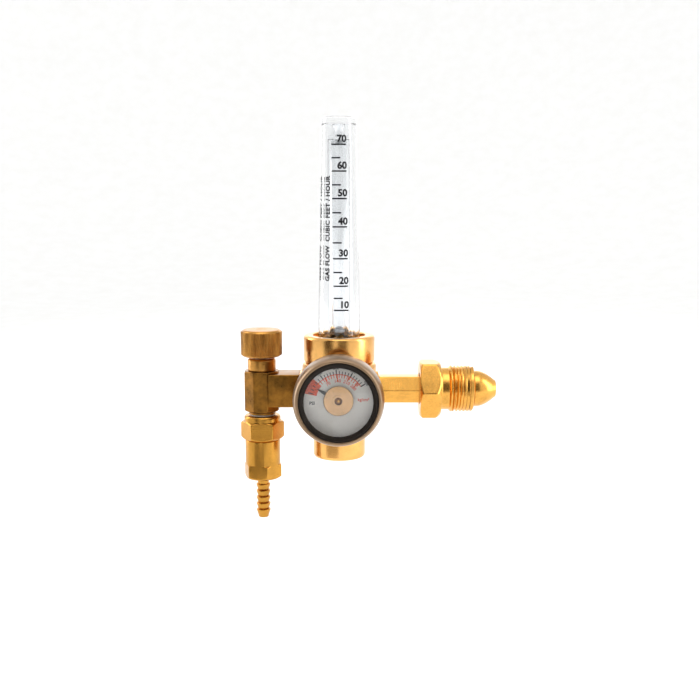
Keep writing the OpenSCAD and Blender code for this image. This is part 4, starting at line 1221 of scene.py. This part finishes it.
    def pointer(self):
        """Pointer's blade, and the turned disc over its axis."""
        back, front = -high("gauge_pointer").y, -low("gauge_pointer").y
        angle = math.radians(150.5)
        tip, half, tail = 12.0, 2.3, 6.3
        outline = [(-tail, -0.9), (0, -half), (tip - 1.6, -0.45), (tip, -0.06), (tip, 0.06),
                   (tip - 1.6, 0.45), (0, half), (-tail, 0.9)]
        blade = boolean_union([prism(outline, back, front)], 0.06, 2)
        blade.transform(placing(FRONT, GAUGE_ORIGIN) @ Matrix.Rotation(angle, 4, "Z"))
        piece = finish_mesh("gauge_pointer_blade", blade, "pointer", "pointer_paint", 30)
        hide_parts("gauge_pointer")
        base, r = -high("pointer_hub").y, radius("pointer_hub")
        rings, ring_count = [], 14
        for i in range(ring_count):
            t = i / (ring_count - 1)
            reach = r - 0.5 - (r - 2.9) * t
            rise = base + 0.66 + 0.42 * t
            rings += [(reach, rise), (reach - 0.1, rise + 0.07), (reach - 0.22, rise + 0.06),
                      (reach - 0.27, rise)]
        outline = [(0, base), (r - 0.25, base), (r, base + 0.2), (r, base + 0.42), (r - 0.3, base + 0.66)]
        outline += rings
        outline += [(2.15, base + 1.14), (1.9, base + 1.05), (1.55, base + 0.12), (0.65, base + 0.12),
                    (0.62, base + 0.6), (0.4, base + 0.7), (0, base + 0.7)]
        hub = turned("pointer_hub_disc", "pointer_hub", outline, FRONT, GAUGE_ORIGIN, "brass_hub", soft=0.05,
                     ring=False, angles=even_angles(COMMON_ROUND), smooth=40)
        # Faces near the axis take the dark brass: painted shade in the hub's centre pocket and on its pin.
        painted_shade_r = 1.85
        hub.data.materials.append(FINISHES["brass_arbor"])
        for face in hub.data.polygons:
            away = face.center / MM - GAUGE_ORIGIN
            if math.hypot(away.x, away.z) < painted_shade_r:
                face.material_index = 1


class REGULATOR_OT_flow_tube(bpy.types.Operator):
    """Clear cover with its printed scale, metering tube, stops and float ball."""

    bl_idname = "regulator.flow_tube"
    bl_label = "Flow tube"

    def execute(self, context):
        self.cover()
        self.metering_tube()
        self.stops_and_ball()
        self.scale()
        return {"FINISHED"}

    def cover_r(self, z):
        """Outer radius of the tapered cover at a height."""
        foot, top = low("flow_cover").z, high("flow_cover").z
        r_low, r_high = 10.95, 8.85
        return r_low + (r_high - r_low) * (z - foot) / (top - foot)

    def cover(self):
        """Tapered clear cover, closed at the top, on its flange."""
        foot, top = low("flow_cover").z, high("flow_cover").z
        wall, roof, flange = 2.1, 3.4, radius("flow_cover")
        top_r = self.cover_r(top)
        shoulder = foot + 1.6
        outer = [(self.cover_r(shoulder) - wall, foot), (flange, foot), (flange, shoulder),
                 (self.cover_r(shoulder) + 0.4, shoulder), (self.cover_r(shoulder + 0.5), shoulder + 0.5),
                 (self.cover_r(top - 2), top - 2), (top_r - 0.35, top - 0.7), (top_r - 1.3, top), (0, top)]
        inner = [(0, top - roof), (top_r - wall - 0.5, top - roof), (top_r - wall, top - roof - 0.6),
                 (self.cover_r(shoulder) - wall, foot)]
        rows = soften(outer, 0.4) + soften(inner, 0.3)[:-1]
        mesh = skin_mesh("flow_cover_moulded", rows, UP, BODY_ORIGIN, even_angles(COMMON_ROUND), ring=True)
        piece = finish_mesh("flow_cover_moulded", mesh, "root", "cover_clear", 35)
        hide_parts("flow_cover")

    def metering_tube(self):
        """Inner clear tube, with a tapered bore."""
        foot, top, r = low("metering_tube").z, high("metering_tube").z, radius("metering_tube")
        plug, passage_r, bore_low_r, bore_top_r = low("ball_rest").z, 1.4, 3.25, 4.2
        turned("metering_tube_bored", "metering_tube", [
            (passage_r, foot), (r - 0.4, foot), (r, foot + 0.4), (r, top - 0.3), (r - 0.3, top),
            (bore_top_r, top), (bore_low_r, plug), (passage_r, plug)],
            UP, BODY_ORIGIN, "meter_clear", soft=0.2, angles=even_angles(MIDDLE_ROUND))

    def stops_and_ball(self):
        """Top stop, the plug that the ball rests on, and the ball."""
        top, z = high("top_stop").z, low("top_stop").z
        seat = high("metering_tube").z
        vent_r, spigot_r, flange_r, tip_r = 1.3, 4.0, 5.75, 3.2
        flange_low, flange_top = seat + 0.02, seat + 2
        turned("top_stop_moulded", "top_stop", [
            (vent_r, z), (spigot_r, z), (spigot_r, flange_low), (flange_r, flange_low),
            (flange_r, flange_top), (tip_r, flange_top), (tip_r, top), (2.2, top), (vent_r, top - 4)],
            UP, BODY_ORIGIN, "meter_clear", soft=0.25, angles=even_angles(SMALL_ROUND))
        plug_low, plug_top, plug_r = low("ball_rest").z, high("ball_rest").z, radius("ball_rest")
        turned("ball_rest_plug", "ball_rest", [
            (1.2, plug_low), (plug_r, plug_low), (plug_r, plug_top - 0.3), (plug_r - 0.3, plug_top),
            (1.5, plug_top), (1.2, plug_top - 0.3)],
            UP, BODY_ORIGIN, "brass_inner", soft=0.15, angles=even_angles(SMALL_ROUND))
        centre, r = middle("float_ball"), radius("float_ball")
        rows = 32
        outline = [(r * math.sin(math.pi * i / rows), centre.z - r * math.cos(math.pi * i / rows))
                   for i in range(rows + 1)]
        outline[0], outline[-1] = (0, centre.z - r), (0, centre.z + r)
        turned("float_ball_ground", "float_ball", outline, UP, BODY_ORIGIN, "stainless_steel", soft=0.0,
               ring=False, angles=even_angles(SMALL_ROUND), smooth=60)

    def wrap(self, mesh, z, side=0.0):
        """Bends a flat mesh round the cover: local x goes round it, y goes up and z stands out of it."""
        bm = bmesh.new()
        bm.from_mesh(mesh)
        reach = max(abs(v.co.x) for v in bm.verts) / MM
        cut, strip = -math.floor(reach), 0.8
        while cut <= reach:
            geometry = bm.verts[:] + bm.edges[:] + bm.faces[:]
            bmesh.ops.bisect_plane(bm, geom=geometry, plane_co=(cut * MM, 0, 0), plane_no=(1, 0, 0),
                                   dist=1e-7)
            cut += strip
        for vert in bm.verts:
            x, y, out = vert.co / MM
            height = z + y
            r = self.cover_r(height)
            angle = -math.pi / 2 + side + x / r
            away = Vector(((r + out) * math.cos(angle), (r + out) * math.sin(angle), height))
            vert.co = (BODY_ORIGIN + away) * MM
        bm.to_mesh(mesh)
        bm.free()
        return mesh

    def scale(self):
        """Marks, numbers and words printed round the cover."""
        tube = settings("tube")
        heights = {10: 42.6, 20: 55.0, 30: 69.0, 40: 85.1, 50: 99.3, 60: 113.0, 70: 126.2}
        parts = []
        values = sorted(heights)
        for value in values:
            z, right = heights[value], self.scale_side(value)
            parts.append(self.wrap(self.mark(right - tube.mark_w, right, tube.mark_h), z))
            digits = lettering(str(value), tube.digit_h, align="RIGHT", weight=0.2)
            across, up = right + 0.15, tube.digit_h / 2 + 0.95
            digits.transform(Matrix.Translation((across * MM, up * MM, PRINT_LIFT * MM)))
            parts.append(self.wrap(digits, z))
        for lower, upper in zip(values, values[1:]):
            z, right = (heights[lower] + heights[upper]) / 2, self.scale_side((lower + upper) / 2)
            short_end = right - tube.mark_w * 0.4
            parts.append(self.wrap(self.mark(right - tube.mark_w, short_end, tube.mark_h), z))
        words, size, middle_z = "GAS FLOW  CUBIC FEET / HOUR", 2.5, 84.0
        for side in (-0.6, -1.22):
            line = lettering(words, size, weight=0.16, spacing=1.06)
            line.transform(Matrix.Rotation(math.pi / 2, 4, "Z"))
            line.transform(Matrix.Translation((0, 0, PRINT_LIFT * MM)))
            parts.append(self.wrap(line, middle_z, side))
        for part in parts:
            part.materials.clear()
            part.materials.append(FINISHES["ink"])
        mesh = join_meshes("flow_scale_print", parts)
        finish_mesh("flow_scale_print", mesh, "root", "ink", 0)

    def scale_side(self, value):
        """The right end of a mark, which leans in towards the top as the cone does."""
        top_side, lean, top_value, span = 3.8, 1.3, 70, 60
        return top_side + lean * (top_value - value) / span

    def mark(self, left, right, thickness):
        """One straight mark of the scale, before it is bent round the cover."""
        half = thickness / 2
        return prism([(left, -half), (right, -half), (right, half), (left, half)], 0.01, 0.06)


class REGULATOR_OT_inner_parts(bpy.types.Operator):
    """Finishes of the pieces that keep their CAD shape."""

    bl_idname = "regulator.inner_parts"
    bl_label = "Inner pieces"

    def execute(self, context):
        for part in frame["record"]["subparts"]:
            node = NODES[part["node"]]
            node.data.materials.clear()
            node.data.materials.append(FINISHES[part["material_slot"]])
        return {"FINISHED"}


class REGULATOR_OT_stage(bpy.types.Operator):
    """Floor, light and camera."""

    bl_idname = "regulator.stage"
    bl_label = "Stage"

    def execute(self, context):
        self.floor()
        self.light()
        self.camera()
        return {"FINISHED"}

    def floor(self):
        """Round paper sweep: flat under the regulator, and curved up far out on every side."""
        drop, flat_r, bend_r, wall_h, steps = 45, 1500, 1100, 2600, 96
        level = low("hose_barb").z - drop
        rows = [(0, level), (600, level), (flat_r, level)]
        rows += [(flat_r + bend_r * math.sin(a), level + bend_r * (1 - math.cos(a)))
                 for a in [math.radians(d) for d in range(10, 91, 10)]]
        rows += [(flat_r + bend_r, level + wall_h)]
        bm = bmesh.new()
        loops = []
        for r, z in rows:
            angles = [TAU * i / steps for i in range(1 if r == 0 else steps)]
            places = [Vector((BODY_AXIS.x + r * math.cos(a), r * math.sin(a), z)) for a in angles]
            loops.append([bm.verts.new(place * MM) for place in places])
        for lower, upper in zip(loops, loops[1:]):
            for i in range(steps):
                j = (i + 1) % steps
                corners = [lower[i % len(lower)], lower[j % len(lower)], upper[j], upper[i]]
                bm.faces.new([v for k, v in enumerate(corners) if v not in corners[:k]])
        mesh = bpy.data.meshes.new("studio_floor")
        bm.to_mesh(mesh)
        bm.free()
        mesh.shade_smooth()
        material, tree, shader = new_material("matt_studio_paper", Roughness=0.9)
        fibre = object_noise(tree, 30, detail=3)
        tree.links.new(ramp(tree, fibre, [(0.3, "#FBFBFA"), (0.7, "#FFFFFF")]), shader.inputs["Base Color"])
        mesh.materials.append(material)
        floor = bpy.data.objects.new("studio_floor", mesh)
        bpy.context.scene.collection.objects.link(floor)

    def card(self, name, azimuth, height, distance, width, tall, grey):
        """A flat card that only shows in reflections."""
        mesh = bpy.data.meshes.new(name)
        half = width / 2 * MM
        up = tall / 2 * MM
        mesh.from_pydata([(-half, 0, -up), (half, 0, -up), (half, 0, up), (-half, 0, up)], [], [(0, 1, 2, 3)])
        material, _, shader = new_material(name + "_felt", Roughness=1.0, Specular_IOR_Level=0.0)
        shader.inputs["Base Color"].default_value = linear(grey)
        mesh.materials.append(material)
        card = bpy.data.objects.new(name, mesh)
        bpy.context.scene.collection.objects.link(card)
        angle = math.radians(azimuth)
        card.location = (BODY_AXIS.x * MM + math.sin(angle) * distance * MM,
                         -math.cos(angle) * distance * MM, height * MM)
        card.rotation_euler = (0, 0, angle)
        card.visible_camera = False
        card.visible_shadow = False
        card.visible_diffuse = False
        card.visible_transmission = False

    def softbox(self, name, azimuth, elevation, distance, width, tall, power):
        """A rectangular lamp that faces the regulator. Its power is in watts."""
        lamp = bpy.data.lights.new(name, "AREA")
        lamp.shape = "RECTANGLE"
        lamp.size, lamp.size_y = width * MM, tall * MM
        lamp.energy = power
        box = bpy.data.objects.new(name, lamp)
        a, e = math.radians(azimuth), math.radians(elevation)
        away = Vector((math.sin(a) * math.cos(e), -math.cos(a) * math.cos(e), math.sin(e)))
        aim_height = 30
        target = Vector((BODY_AXIS.x, 0, aim_height)) * MM
        box.location = target + away * distance * MM
        box.rotation_euler = away.to_track_quat("Z", "Y").to_euler()
        box.visible_camera = False
        box.visible_transmission = False
        bpy.context.scene.collection.objects.link(box)

    def light(self):
        """Even white sky, four softboxes, and three cards that darken reflections."""
        sky = settings("stage").sky
        world = bpy.data.worlds.new("studio_sky")
        world.use_nodes = True
        tree = world.node_tree
        tree.nodes.clear()
        glow = add(tree, "ShaderNodeBackground", Color=linear("#FFFFFF"), Strength=sky)
        output = add(tree, "ShaderNodeOutputWorld")
        tree.links.new(glow.outputs[0], output.inputs[0])
        bpy.context.scene.world = world
        # Azimuth and elevation in degrees, distance, width and height in millimetres, power.
        self.softbox("right_softbox", 78, 12, 900, 260, 1100, 4.5)
        self.softbox("left_softbox", -112, 10, 900, 320, 1100, 4)
        self.softbox("top_softbox", 10, 72, 1100, 900, 700, 3.5)
        self.softbox("back_softbox", 180, 14, 1000, 1000, 500, 1.6)
        # Azimuth in degrees, height, distance, width and height of the card in millimetres, grey.
        self.card("front_left_flag", -34, 40, 640, 330, 1400, "#3A3020")
        self.card("front_flag", 12, 30, 760, 420, 1300, "#59544A")
        self.card("outlet_flag", -30, -95, 230, 240, 50, "#9A9488")
        bpy.context.scene.view_settings.view_transform = "Standard"

    def camera(self):
        """Camera in front of the regulator, looking a little down."""
        stage = settings("stage")
        lens = bpy.data.cameras.new("camera")
        lens.lens = stage.lens
        lens.sensor_width = 36
        lens.clip_start = 0.01
        camera = bpy.data.objects.new("camera", lens)
        side, eye, aim = 5.7, 101.0, 20.5
        camera.location = Vector((BODY_AXIS.x + side, -stage.distance, eye)) * MM
        target = Vector((BODY_AXIS.x + side, 0, aim)) * MM
        camera.rotation_euler = (target - camera.location).to_track_quat("-Z", "Y").to_euler()
        bpy.context.scene.collection.objects.link(camera)
        bpy.context.scene.camera = camera


class REGULATOR_PT_panel(bpy.types.Panel):
    """Lists the pieces that can be built."""

    bl_idname = "REGULATOR_PT_panel"
    bl_label = "Gas regulator"
    bl_space_type = "VIEW_3D"
    bl_region_type = "UI"
    bl_category = "Regulator"

    def draw(self, context):
        for operator in OPERATORS:
            self.layout.operator(operator.bl_idname)


GROUPS = {"finish": RegulatorFinish, "gauge": RegulatorGauge, "knurl": RegulatorKnurl, "tube": RegulatorTube,
          "stage": RegulatorStage}
OPERATORS = [REGULATOR_OT_stage, REGULATOR_OT_inner_parts, REGULATOR_OT_body, REGULATOR_OT_relief,
             REGULATOR_OT_inlet, REGULATOR_OT_valve, REGULATOR_OT_outlet, REGULATOR_OT_gauge,
             REGULATOR_OT_flow_tube]


def register():
    """Registers the settings, the operators and the panel."""
    for name, group in GROUPS.items():
        bpy.utils.register_class(group)
        setattr(bpy.types.Scene, "regulator_" + name, bpy.props.PointerProperty(type=group))
    for kind in OPERATORS + [REGULATOR_PT_panel]:
        bpy.utils.register_class(kind)


def unregister():
    """Removes all that register() added."""
    for kind in reversed(OPERATORS + [REGULATOR_PT_panel]):
        bpy.utils.unregister_class(kind)
    for name, group in GROUPS.items():
        delattr(bpy.types.Scene, "regulator_" + name)
        bpy.utils.unregister_class(group)


def main():
    """Builds the whole model."""
    register()
    make_finishes()
    for kind in OPERATORS:
        area, name = kind.bl_idname.split(".")
        getattr(getattr(bpy.ops, area), name)()
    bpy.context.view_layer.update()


if __name__ == "__main__":
    main()
